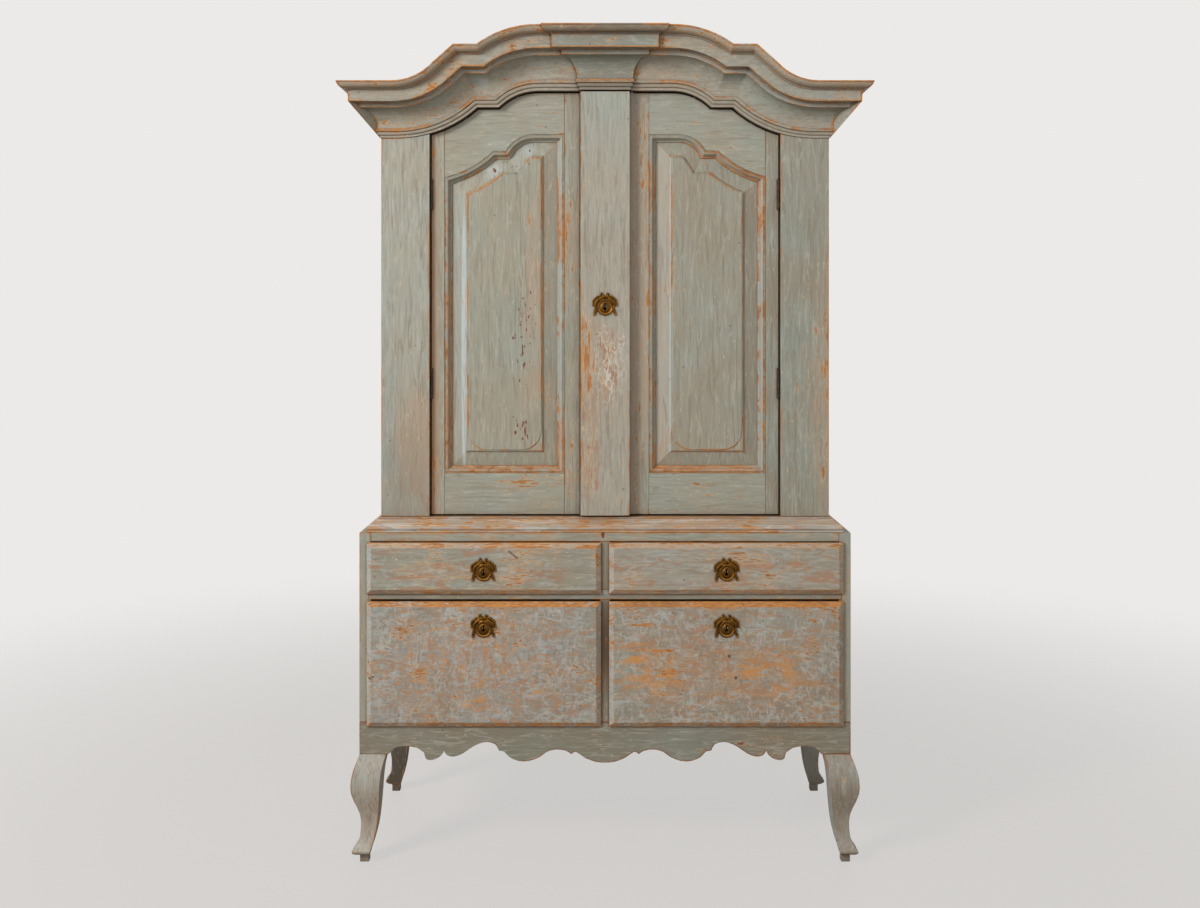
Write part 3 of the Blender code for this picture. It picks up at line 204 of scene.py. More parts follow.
# The stretch vector shortens the pattern along the grain, so a board has long fibres
def pineSurface(add, place, stretch):
    plank = add("Attribute", out="Fac", attribute_name="plankTone")
    shift = add("Math", {0: plank, 1: pineLook["plankShift"]}, operation="MULTIPLY")
    place = add("VectorMath", {0: place, 1: shift})
    along = add("VectorMath", {0: place, 1: stretch}, operation="MULTIPLY")
    drift = add("TexNoise", {"Vector": along, "Scale": 1 / pineLook["driftSize"], "Detail": 3.0})
    rings = add("Math", {0: drift, 1: pineLook["waver"] / pineLook["ringSpacing"]}, operation="MULTIPLY")
    wave = add("Math", {0: rings}, operation="FRACT")
    fibre = add("TexNoise", {
        "Vector": along, "Scale": 1 / pineLook["fibreSize"], "Detail": 4.0, "Roughness": 0.6})
    squashed = add("VectorMath", {0: place, 1: [0.45 + 0.55 * s for s in stretch]}, operation="MULTIPLY")
    knots = add("TexVoronoi", {"Vector": squashed, "Scale": 1 / pineLook["knotSpacing"]})
    tone = layCoats(add, pineLook["light"], [
        (pineLook["dark"], drift),
        (pineLook["line"], wave, 0.72, 1.0, 0.0, 0.55),
        (pineLook["dark"], fibre, 0.5, 0.75, 0.0, 0.45),
        (pineLook["knot"], knots, 0.05, 0.085, 0.8, 0.0),
        (pineLook["line"], plank, 0.0, 1.0, 0.0, pineLook["plankShade"]),
    ])
    return tone, fibre


def planedPine(name, stretch, seed):
    material, add, shader = newMaterial(name, roughness=0.72)
    place = add("TexCoord", out="Object")
    seeded = add("VectorMath", {0: place, 1: [seed] * 3})
    tone, height = pineSurface(add, seeded, stretch)
    # darker in the recesses, by how closely they are shut in
    outer = add("AmbientOcclusion", {"Distance": 0.05}, out="AO", samples=4)
    tone = layCoats(add, tone, [(pineLook["recessDark"], outer, 0.9, 0.3, 0.0, 0.6)])
    finishSurface(add, shader, tone, height, strength=0.5, depth=0.0005)
    return material


# Aged oil paint over pine: a matt linseed paint, brushed along each board. It has gone chalky, is rubbed
# through to orange and brown wood at its arrises, and holds brown dirt and painted shade in its recesses
paintLook = {
    "cool": "#989b8d", "warm": "#9e9784", "chalk": "#babaac", "blue": "#9da39d", "leftFace": "#b7c0bf",
    "brushDark": "#7a7464", "streak": "#77664e", "stain": "#b09377", "primer": "#d2bf9c",
    "wood": "#c98a45", "woodDark": "#a96c3a", "woodBrown": "#805835",
    # grime is brown dirt and painted shade in the recesses, creaseShade painted shade in the tightest
    "grime": "#66492f", "creaseShade": "#48321e", "fleck": "#70301f", "pale": "#b6b8b3", "rust": "#a9704a",
    "blush": "#b9a08c", "brown": "#7b6045",
    # sizes in metres
    "brushWidth": 0.005,  # drawn a little coarser than real bristle marks, which would not show
    "fibreWidth": 0.003, "chipSize": 0.0117, "scuffSize": 0.30,
    "arrisWidth": 0.0036, "softArrisWidth": 0.0022, "recessWidth": 0.045, "creaseShadeWidth": 0.007,
    "edge": 0.85, "softEdge": 0.0, "scuff": 0.30, "wearBias": 0.0, "fibreShare": 0.22, "dryRange": 0.12,
    "brownShare": 0.0, "blueShare": 0.25, "brushShare": 0.42, "stainShare": 0.5, "speckShare": 0.6,
    "dirtAndShadeShare": 0.7, "creaseShadeShare": 0.6, "oldShare": 0.45,
    # patches on the board's face, which lies at faceY: across, up, half width, half height, strength
    "faceY": 0.0, "patchDepth": 0.1,
    "wornPatches": (), "stainPatches": (), "fleckPatches": (), "blueAndHighlightPatches": (), "dirtAndShadePatches": (),
    # slopes tint a face by the way it turns, as painted light and shade: direction, where it starts, where
    # it is whole, its colour, the colour's share, its wear
    "slopes": (),
    # strokes: stretch across, stretch up, size, bend, width, colour, share, and the patches that hold them
    "strokes": (),
    "reachFrom": None,  # half width and front of the face that a cornice moulding reaches out from
    "bare": None,  # direction of the unpainted sides, and how squarely they face it
    "grain": (1.0, 1.0, 0.09), "seed": 0.0,
}


# Sum of soft spots on the face of a board
def patchField(add, place, look, patches):
    total = None
    for x, z, halfWidth, halfHeight, strength in patches:
        middle, radii = (x, look["faceY"], z), (halfWidth, look["patchDepth"], halfHeight)
        offset = add("VectorMath", {0: place, 1: middle}, operation="SUBTRACT")
        scaled = add("VectorMath", {0: offset, 1: radii}, operation="DIVIDE")
        away = add("VectorMath", {0: scaled}, out="Value", operation="LENGTH")
        field = add("MapRange", {
            "Value": away, "From Min": 0.1, "From Max": 1.0, "To Min": strength, "To Max": 0.0,
        }, interpolation_type="SMOOTHSTEP")
        total = field if total is None else add("Math", {0: total, 1: field})
    return total


# The members of the cornice by how far they reach from the face, in metres: wear of their arrises,
# wear added over them, and share of brown. The crown is browned most, and the cove least
corniceMembers = [
    (0.0000, 0.15, -0.06, 0.30), (0.0076, 0.20, -0.06, 0.30), (0.0082, 1.00, 0.15, 0.10),
    (0.0108, 1.00, 0.12, 0.05), (0.0160, 0.20, -0.02, 0.00), (0.0220, 0.20, -0.09, 0.00),
    (0.0390, 0.40, -0.09, 0.00), (0.0400, 0.90, 0.05, 0.00), (0.0440, 0.90, 0.05, 0.10),
    (0.0590, 1.30, 0.12, 0.10), (0.0607, 1.30, 0.14, 0.00), (0.0620, 0.60, 0.05, 0.20),
    (0.0640, 0.60, 0.02, 0.60), (0.0660, 1.00, 0.12, 0.60), (0.0800, 1.20, 0.22, 0.50),
    (0.0860, 1.20, 0.28, 0.50),
]
memberLook = {"reach": 0.1, "lowest": -0.1, "highest": 1.4}  # reach in metres; the other columns' range


# Reach of a point outside the face lines of the cornice, as a share of the longest reach
def corniceReach(add, place, start):
    x = add("SeparateXYZ", {0: place})
    front = add("Math", {0: start[1], 1: x.node.outputs["Y"]}, operation="SUBTRACT")
    sideways = add("Math", {0: x}, operation="ABSOLUTE")
    side = add("Math", {0: sideways, 1: start[0]}, operation="SUBTRACT")
    reach = add("Math", {0: front, 1: side}, operation="MAXIMUM")
    return add("MapRange", {"Value": reach, "From Max": memberLook["reach"]})


# One column of the cornice members as a curve over the reach
def memberCurve(add, reach, column):
    curve = add("FloatCurve", {"Value": reach})
    line = curve.node.mapping.curves[0]
    lowest, highest = memberLook["lowest"], memberLook["highest"]
    rows = [(row[0] / memberLook["reach"], (row[column] - lowest) / (highest - lowest))
            for row in corniceMembers]
    line.points[0].location = rows[0]
    line.points[1].location = rows[-1]
    for spot in rows[1:-1]:
        line.points.new(*spot)
    for point in line.points:
        point.handle_type = "VECTOR"
    curve.node.mapping.update()
    return add("MapRange", {"Value": curve, "From Max": 1.0, "To Min": lowest, "To Max": highest})


def agedPaint(name, changes):
    look = {**paintLook, **changes}
    material, add, shader = newMaterial("brushedOilPaint" + name[0].upper() + name[1:], roughness=0.55)
    place = add("TexCoord", out="Object")
    normal = place.node.outputs["Normal"]
    seeded = add("VectorMath", {0: place, 1: [look["seed"]] * 3})
    along = add("VectorMath", {0: seeded, 1: look["grain"]}, operation="MULTIPLY")
    chipGrain = [0.16 + 0.84 * share for share in look["grain"]]
    chipped = add("VectorMath", {0: seeded, 1: chipGrain}, operation="MULTIPLY")

    # noise patterns: coordinates, size in metres, detail, roughness, bend
    patterns = {
        "clouds": (seeded, 0.17, 4.0, 0.55, 0.0),
        "blues": (seeded, 0.2, 5.0, 0.62, 0.4),
        "brush": (along, look["brushWidth"], 5.0, 0.68, 0.0),
        "fibre": (along, look["fibreWidth"], 3.0, 0.6, 0.0),
        "rubbed": (chipped, 0.05, 3.0, 0.6, 0.0),
        "scuffs": (seeded, look["scuffSize"], 3.0, 0.6, 0.0),
        "chips": (chipped, look["chipSize"], 5.0, 0.72, 0.3),
        "old": (seeded, 0.06, 3.0, 0.65, 0.0),
        "specks": (chipped, 0.0042, 2.0, 0.5, 0.0),
    }
    noise = {}
    for key, (vector, size, detail, roughness, bend) in patterns.items():
        noise[key] = add("TexNoise", {
            "Vector": vector, "Scale": 1 / size, "Detail": detail, "Roughness": roughness,
            "Distortion": bend})

    # what each pattern is turned into: value, from, to, and the share at either end
    masks = {
        "blue": (noise["blues"], 0.5, 0.68, 0.0, look["blueShare"]),
        "rub": (noise["rubbed"], 0.4, 0.64, 0.1, 1.3),
        "scuff": (noise["scuffs"], 0.45, 0.7, look["wearBias"], look["wearBias"] + look["scuff"]),
        "chip": (noise["chips"], 0.28, 0.72, 0.0, 1.0),
        "fibre": (noise["fibre"], 0.3, 0.7, -look["fibreShare"], look["fibreShare"]),
    }
    made = {}
    for key, (value, low, high, first, last) in masks.items():
        made[key] = add("MapRange", {
            "Value": value, "From Min": low, "From Max": high, "To Min": first, "To Max": last})

    # the paint film: clouds of warmer and cooler grey-green under brush marks
    # blue patches: pale paint, and painted highlights where a face catches the lamp
    if look["blueAndHighlightPatches"]:
        more = patchField(add, place, look, look["blueAndHighlightPatches"])
        made["blue"] = add("Math", {0: made["blue"], 1: more}, use_clamp=True)
    coats = [
        ("warm", noise["clouds"], 0.38, 0.62, 0.0, 1.0), ("blue", made["blue"]),
        ("brushDark", noise["brush"], 0.48, 0.36, 0.0, look["brushShare"]),
        ("chalk", noise["brush"], 0.55, 0.66, 0.0, look["brushShare"]),
    ]
    if look["brownShare"]:
        coats.append(("brown", look["brownShare"]))

    # where the film is thin, from the loose scuffs, the patches and the slopes
    field = made["scuff"]
    if look["wornPatches"]:
        worn = patchField(add, place, look, look["wornPatches"])
        field = add("Math", {0: field, 1: worn})
    # each slope tints the faces that turn its way as painted light and shade, and adds its wear
    for direction, low, high, colour, share, worn in look["slopes"]:
        facing = add("VectorMath", {0: normal, 1: direction}, out="Value", operation="DOT_PRODUCT")
        slope = add("MapRange", {"Value": facing, "From Min": low, "From Max": high})
        coats.append((colour, slope, 0.0, 1.0, 0.0, share))
        field = add("Math", {0: slope, 1: worn, 2: field}, operation="MULTIPLY_ADD")
    edge = look["edge"]
    if look["reachFrom"] is not None:
        reach = corniceReach(add, place, look["reachFrom"])
        sharper, worn, brown = [memberCurve(add, reach, column) for column in (1, 2, 3)]
        edge = add("Math", {0: sharper, 1: edge}, operation="MULTIPLY")
        field = add("Math", {0: field, 1: worn})
        coats.append(("brown", brown))

    # the outward corners, which are worn most: sharp ones by how little wood stands behind them,
    # and blunt ones by how the surface turns there
    inner = add("AmbientOcclusion", {"Distance": look["arrisWidth"]}, out="AO", samples=5, inside=True,
                only_local=True)
    corner = add("MapRange", {"Value": inner, "From Min": 0.98, "From Max": 0.72})
    if look["softEdge"]:
        straight = add("NewGeometry", out="Normal")
        turned = add("Bevel", {"Radius": look["softArrisWidth"]}, samples=5)
        same = add("VectorMath", {0: turned, 1: straight}, out="Value", operation="DOT_PRODUCT")
        blunt = add("MapRange", {
            "Value": same, "From Min": 0.9985, "From Max": 0.985, "To Max": look["softEdge"]})
        corner = add("Math", {0: corner, 1: blunt}, operation="MAXIMUM")
    corner = add("Math", {0: corner, 1: made["rub"]}, operation="MULTIPLY")

    # wear where the sum of them passes 1; below that, the film is stained by the wood under it
    wear = field
    for part in (made["chip"], made["fibre"]):
        wear = add("Math", {0: wear, 1: part})
    wear = add("Math", {0: corner, 1: edge, 2: wear}, operation="MULTIPLY_ADD")
    stained = field
    if look["stainPatches"]:
        darker = patchField(add, place, look, look["stainPatches"])
        stained = add("Math", {0: field, 1: darker})
    stained = add("Math", {0: made["chip"], 1: 0.35, 2: stained}, operation="MULTIPLY_ADD")
    rubbed = add("Math", {0: field, 1: -0.13, 2: noise["specks"]}, operation="MULTIPLY_ADD")
    masks = {
        "stain": (stained, 0.25, 0.72, look["stainShare"]),
        "bare": (wear, 1.0, 1.0 + look["dryRange"], 1.0),
        "rim": (wear, 0.9, 1.0, 0.4),
        "orangeSpeck": (rubbed, 0.285, 0.25, look["speckShare"]),
    }
    for key, (value, low, high, share) in masks.items():
        made[key] = add("MapRange", {
            "Value": value, "From Min": low, "From Max": high, "To Max": share,
        }, interpolation_type="SMOOTHSTEP")
    coats.append(("stain", made["stain"]))

    # loose curled brush strokes of the repainted places, each along a thin line of a bent noise
    for number, (across, up, size, bend, width, colour, share, *patches) in enumerate(look["strokes"]):
        drawn = add("VectorMath", {
            0: seeded, 1: (across, 1.0, up), 2: [number * 3.7] * 3}, operation="MULTIPLY_ADD")
        line = add("TexNoise", {
            "Vector": drawn, "Scale": 1 / size, "Detail": 1.0, "Roughness": 0.4, "Distortion": bend})
        off = add("Math", {0: line, 1: 0.5, 2: width}, operation="COMPARE")
        broken = add("TexNoise", {"Vector": drawn, "Scale": 0.8 / size, "Detail": 2.0})
        part = add("MapRange", {"Value": broken, "From Min": 0.42, "From Max": 0.6, "To Max": share})
        seen = add("Math", {0: off, 1: part}, operation="MULTIPLY")
        if patches:
            inside = patchField(add, place, look, patches)
            seen = add("Math", {0: seen, 1: inside}, operation="MULTIPLY", use_clamp=True)
        coats.append((colour, seen))
    coats += [
        ("primer", noise["specks"], 0.69, 0.735, 0.0, look["speckShare"]),
        ("wood", made["orangeSpeck"]), ("primer", made["rim"]),
    ]
    # dark patches: real marks, and painted shade where a board lies in shadow
    if look["dirtAndShadePatches"]:
        coats.append(("grime", patchField(add, place, look, look["dirtAndShadePatches"])))
    tone = layCoats(add, look["cool"], [(look[colour], *share) for colour, *share in coats])
    woodTone = layCoats(add, look["wood"], [
        (look["woodDark"], noise["fibre"], 0.42, 0.62, 0.0, 1.0),
        (look["woodBrown"], noise["old"], 0.5, 0.64, 0.0, look["oldShare"]),
    ])
    coats = [(woodTone, made["bare"])]

    # dark red-brown flecks where a lower coat shows, only inside their patches
    if look["fleckPatches"]:
        drawn = add("VectorMath", {0: seeded, 1: (1.0, 1.0, 0.4)}, operation="MULTIPLY")
        flecks = add("TexNoise", {"Vector": drawn, "Scale": 180.0, "Detail": 1.0})
        likely = patchField(add, place, look, look["fleckPatches"])
        flecks = add("Math", {0: flecks, 1: likely})
        coats.append((look["fleck"], flecks, 0.98, 1.03, 0.0, 1.0))

    # pin holes and dents about 48 mm apart, then brown dirt and painted shade in the recesses, and a darker
    # line of painted shade in the tightest ones
    dents = add("TexVoronoi", {"Vector": seeded, "Scale": 21.0})
    outer, tight = [add("AmbientOcclusion", {"Distance": look[key]}, out="AO", samples=5)
                    for key in ("recessWidth", "creaseShadeWidth")]
    tone = layCoats(add, tone, coats + [
        (look["grime"], dents, 0.055, 0.03, 0.0, 0.7),
        (look["grime"], outer, 0.9, 0.35, 0.0, look["dirtAndShadeShare"]),
        (look["creaseShade"], tight, 0.72, 0.25, 0.0, look["creaseShadeShare"]),
    ])
    if look["bare"] is not None:  # unpainted sides of the board, which face into the case
        direction, start = look["bare"]
        facing = add("VectorMath", {0: normal, 1: direction}, out="Value", operation="DOT_PRODUCT")
        pineTone = pineSurface(add, seeded, look["grain"])[0]
        tone = layCoats(add, tone, [(pineTone, facing, start, start + 0.05, 0.0, 1.0)])
    height = add("Math", {0: noise["brush"], 1: made["bare"]}, operation="SUBTRACT")
    roughness = add("MapRange", {"Value": made["bare"], "To Min": 0.52, "To Max": 0.7})
    material.node_tree.links.new(roughness, shader.inputs["Roughness"])
    finishSurface(add, shader, tone, height, strength=0.5, depth=0.0006)
    return material


# Sand-cast brass, browned by age and rubbed to a dull gold on its ridges
brassLook = {"ridge": "#a87428", "body": "#5f3f15", "hollow": "#110a05",
             "pitSize": 1 / 520, "ridgeWidth": 0.0016, "hollowWidth": 0.005}  # metres


def castBrass():
    look = brassLook
    material, add, shader = newMaterial("castBrassBrowned", roughness=0.44, metallic=0.9)
    place = add("TexCoord", out="Object")
    pits = add("TexNoise", {"Vector": place, "Scale": 1 / look["pitSize"], "Detail": 4.0})
    inner = add("AmbientOcclusion", {"Distance": look["ridgeWidth"]}, out="AO", samples=6, inside=True,
                only_local=True)
    outer = add("AmbientOcclusion", {"Distance": look["hollowWidth"]}, out="AO", samples=6)
    tone = layCoats(add, look["body"], [
        (look["ridge"], inner, 0.75, 0.2, 0.0, 1.0),
        (look["hollow"], outer, 0.86, 0.52, 0.0, 1.0),
        (look["hollow"], pits, 0.52, 0.7, 0.0, 0.5),
    ])
    finishSurface(add, shader, tone, pits, strength=0.4, depth=0.0003)
    return material


# Forged iron, black with scale and spotted with rust
ironLook = {"scale": "#3a342f", "rust": "#62402a", "rustSize": 1 / 140}  # metres


def forgedIron():
    material, add, shader = newMaterial("forgedIronRusted", roughness=0.62, metallic=0.75)
    place = add("TexCoord", out="Object")
    patches = add("TexNoise", {"Vector": place, "Scale": 1 / ironLook["rustSize"], "Detail": 6.0})
    tone = layCoats(add, ironLook["scale"], [(ironLook["rust"], patches, 0.48, 0.66, 0.0, 1.0)])
    finishSurface(add, shader, tone, patches, strength=0.5, depth=0.0004)
    return material


# Worn corners: each board keeps its shape and gets small rounded arrises; angles in degrees
edgeLook = {
    "flatAngle": 0.4, "sharpAngle": 28, "wornAngle": 32,
    "panelAngle": 8,  # the panels' bevels meet in blunt mitres
    "mitreAngle": 8, "mitreDepth": 0.0001,  # the cornice's mitres run from front to back
    "weldDistance": 0.00001, "paintedRadius": 0.0011, "pineRadius": 0.0008, "metalRadius": 0.0003,
}


def newShapeGroup(name):
    group = bpy.data.node_groups.new(name, "GeometryNodeTree")
    for direction in ("INPUT", "OUTPUT"):
        group.interface.new_socket("Geometry", in_out=direction, socket_type="NodeSocketGeometry")
    add = partial(addNode, group)
    return group, add, add("NodeGroupInput")


# Joins the loose triangles of a CAD solid and forgets the shading they came with
def weldedTriangles():
    group, add, shape = newShapeGroup("weldedTriangles")
    shape = add("GeometryNodeMergeByDistance", {"Geometry": shape, "Distance": edgeLook["weldDistance"]})
    shape = add("GeometryNodeRemoveAttribute", {"Geometry": shape, "Name": "custom_normal"})
    add("NodeGroupOutput", {0: shape})
    return group


# Smooths the curved faces of a board, while its corners stay sharp; marks the outward ones for rounding
def cornerShading(name, sharpAngle, mitred=False):
    group, add, shape = newShapeGroup(name)
    angle = add("GeometryNodeInputMeshEdgeAngle", out="Unsigned Angle")
    below = partial(add, "FunctionNodeCompare", data_type="FLOAT", operation="LESS_THAN")
    gentle = below({0: angle, 1: math.radians(sharpAngle)})
    if mitred:
        first = add("GeometryNodeInputMeshEdgeVertices", out="Position 1")
        run = add("VectorMath", {0: first, 1: first.node.outputs["Position 2"]}, operation="SUBTRACT")
        deep = add("SeparateXYZ", {0: run}, out="Y")
        depth = add("Math", {0: deep}, operation="ABSOLUTE")
        across = below({0: depth, 1: edgeLook["mitreDepth"]})
        slight = below({0: angle, 1: math.radians(edgeLook["mitreAngle"])})
        unbroken = add("FunctionNodeBooleanMath", {0: across, 1: slight}, operation="OR")
        gentle = add("FunctionNodeBooleanMath", {0: gentle, 1: unbroken}, operation="AND")
    outward = add("FunctionNodeCompare", {
        0: angle.node.outputs["Signed Angle"], 1: math.radians(edgeLook["wornAngle"]),
    }, data_type="FLOAT", operation="GREATER_THAN")
    shape = add("GeometryNodeSetShadeSmooth", {"Geometry": shape, "Shade Smooth": True})
    shape = add("GeometryNodeSetShadeSmooth", {"Geometry": shape, "Shade Smooth": gentle}, domain="EDGE")
    shape = add("GeometryNodeStoreNamedAttribute", {
        "Geometry": shape, "Name": "bevel_weight_edge", "Value": outward}, data_type="FLOAT", domain="EDGE")
    add("NodeGroupOutput", {0: shape})
    return group


def wearCorners(piece, radius, shading):
    piece.modifiers.new("weldedTriangles", "NODES").node_group = welding
    flat = piece.modifiers.new("joinedFlats", "DECIMATE")
    flat.decimate_type = "DISSOLVE"
    flat.angle_limit = math.radians(edgeLook["flatAngle"])
    piece.modifiers.new("cornerShading", "NODES").node_group = shading
    worn = piece.modifiers.new("wornArris", "BEVEL")
    worn.limit_method = "WEIGHT"
    worn.width = radius
    worn.segments = 2
    worn.use_clamp_overlap = True
    worn.harden_normals = True
    worn.miter_outer = "MITER_ARC"


# Each painted board gets its own paint, worn where that board is worn. First the directions of the
# grain, as the stretch of a pattern, and of the faces, then the slopes and strokes of the boards
upright, level = (1.0, 1.0, 0.09), (0.09, 1.0, 1.0)
fromFront = (0.0, 1.0, 0.0)
fromLeft, fromRight = (-1.0, 0.0, 0.0), (1.0, 0.0, 0.0)
fromAbove, fromBelow = (0.0, 0.0, 1.0), (0.0, 0.0, -1.0)
# Slopes stand in for the lamps: a painted highlight on faces toward the left and on top, and painted shade
# in brown on faces toward the right and below, warmed instead toward the right on the upper drawers; the
# last column adds wear there
stepSlope = (fromLeft, 0.3, 0.55, "leftFace", 0.9, 0.0)
legSlope = (fromLeft, 0.3, 0.7, "leftFace", 0.6, 0.0)
rightSlope = (fromRight, 0.08, 0.15, "brown", 0.16, 0.06)
mouldSlopes = [
    (fromLeft, 0.3, 0.7, "leftFace", 0.6, -0.1), (fromRight, 0.2, 0.6, "brown", 0.22, 0.05),
    (fromAbove, 0.2, 0.6, "stain", 0.4, 0.18),
]
upperSlopes = [
    (fromAbove, 0.15, 0.3, "blush", 0.6, 0.42), (fromLeft, 0.15, 0.3, "leftFace", 0.6, 0.1),
    (fromRight, 0.15, 0.3, "stain", 0.3, 0.2), (fromBelow, 0.15, 0.3, "brown", 0.45, 0.3),
]
lowerSlopes = [
    (fromAbove, 0.15, 0.3, "blush", 0.75, 0.52), (fromLeft, 0.15, 0.3, "leftFace", 0.5, 0.15),
    (fromRight, 0.15, 0.3, "brown", 0.3, 0.1), (fromBelow, 0.15, 0.3, "brown", 0.45, 0.4),
]
grainStreaks = [
    (1.0, 0.06, 0.011, 0.4, 0.035, "streak", 0.38),
    (1.0, 0.12, 0.01, 0.4, 0.03, "chalk", 0.32),
]
levelStreaks = [
    (0.08, 1.0, 0.011, 0.4, 0.035, "streak", 0.3),
    (0.14, 1.0, 0.01, 0.5, 0.03, "chalk", 0.3),
]
railStreaks = [
    (0.1, 1.0, 0.012, 0.8, 0.07, "curl", 0.75),
    (0.1, 1.0, 0.013, 0.6, 0.05, "rust", 0.5),
    (0.14, 1.0, 0.011, 0.8, 0.05, "wood", 0.8),
]
maze = [  # the lower drawers are covered with short strokes across each other
    (1.0, 0.5, 0.025, 1.6, 0.055, "streak", 0.35),
    (1.0, 0.45, 0.021, 1.2, 0.045, "pale", 0.5),
    (0.4, 1.0, 0.022, 1.2, 0.045, "pale", 0.5),
    (1.0, 1.0, 0.026, 1.8, 0.04, "pale", 0.5),
    (0.4, 1.0, 0.021, 1.0, 0.045, "rust", 0.55),
]
upperStrokes = [
    *levelStreaks,
    (0.4, 1.0, 0.02, 1.6, 0.04, "pale", 0.4),
    (0.25, 1.0, 0.019, 1.0, 0.05, "rust", 0.55),
]
swirls = [  # repainted and rubbed places under the keyhole
    (1.0, 0.7, 0.016, 2.4, 0.05, "curl", 0.9, (0.015, 1.09, 0.055, 0.11, 1.3)),
    (1.0, 0.35, 0.016, 1.4, 0.05, "rust", 0.7, (0.0, 1.06, 0.06, 0.12, 1.3)),
    (1.0, 0.35, 0.014, 1.2, 0.045, "curl", 0.9, (0.01, 1.06, 0.05, 0.12, 1.3)),
    (1.0, 0.22, 0.012, 0.8, 0.05, "rust", 0.8, (-0.035, 0.86, 0.035, 0.2, 1.6)),
]

# What several boards share
doorFrame = dict(strokes=grainStreaks, bare=(fromFront, 0.7))
panelField = dict(bare=(fromFront, 0.7), brushShare=0.35, edge=1.0, softEdge=0.7, dirtAndShadeShare=0.4,
                  strokes=grainStreaks, faceY=-0.14)
caseRail = dict(grain=level, scuff=0.5, bare=(fromFront, -0.5), strokes=levelStreaks)
caseSide = dict(scuff=0.36, scuffSize=0.4)
frontLeg = dict(scuffSize=0.08, wood="#9a6a40", slopes=[legSlope], strokes=grainStreaks)
moulded = dict(edge=1.0, scuff=0.34, softEdge=0.5, creaseShadeShare=0.85, creaseShadeWidth=0.01)
upperFront = dict(grain=level, scuffSize=0.12, blueShare=0.3, strokes=upperStrokes, stainShare=0.6,
                  dryRange=0.25, fibreShare=0.3, softEdge=0.8, slopes=upperSlopes, faceY=-0.2)
lowerFront = dict(grain=(0.22, 1.0, 1.0), scuffSize=0.08, stainShare=0.35, fibreShare=0.4, softEdge=0.8,
                  slopes=lowerSlopes, rust="#ad7a50", faceY=-0.2)
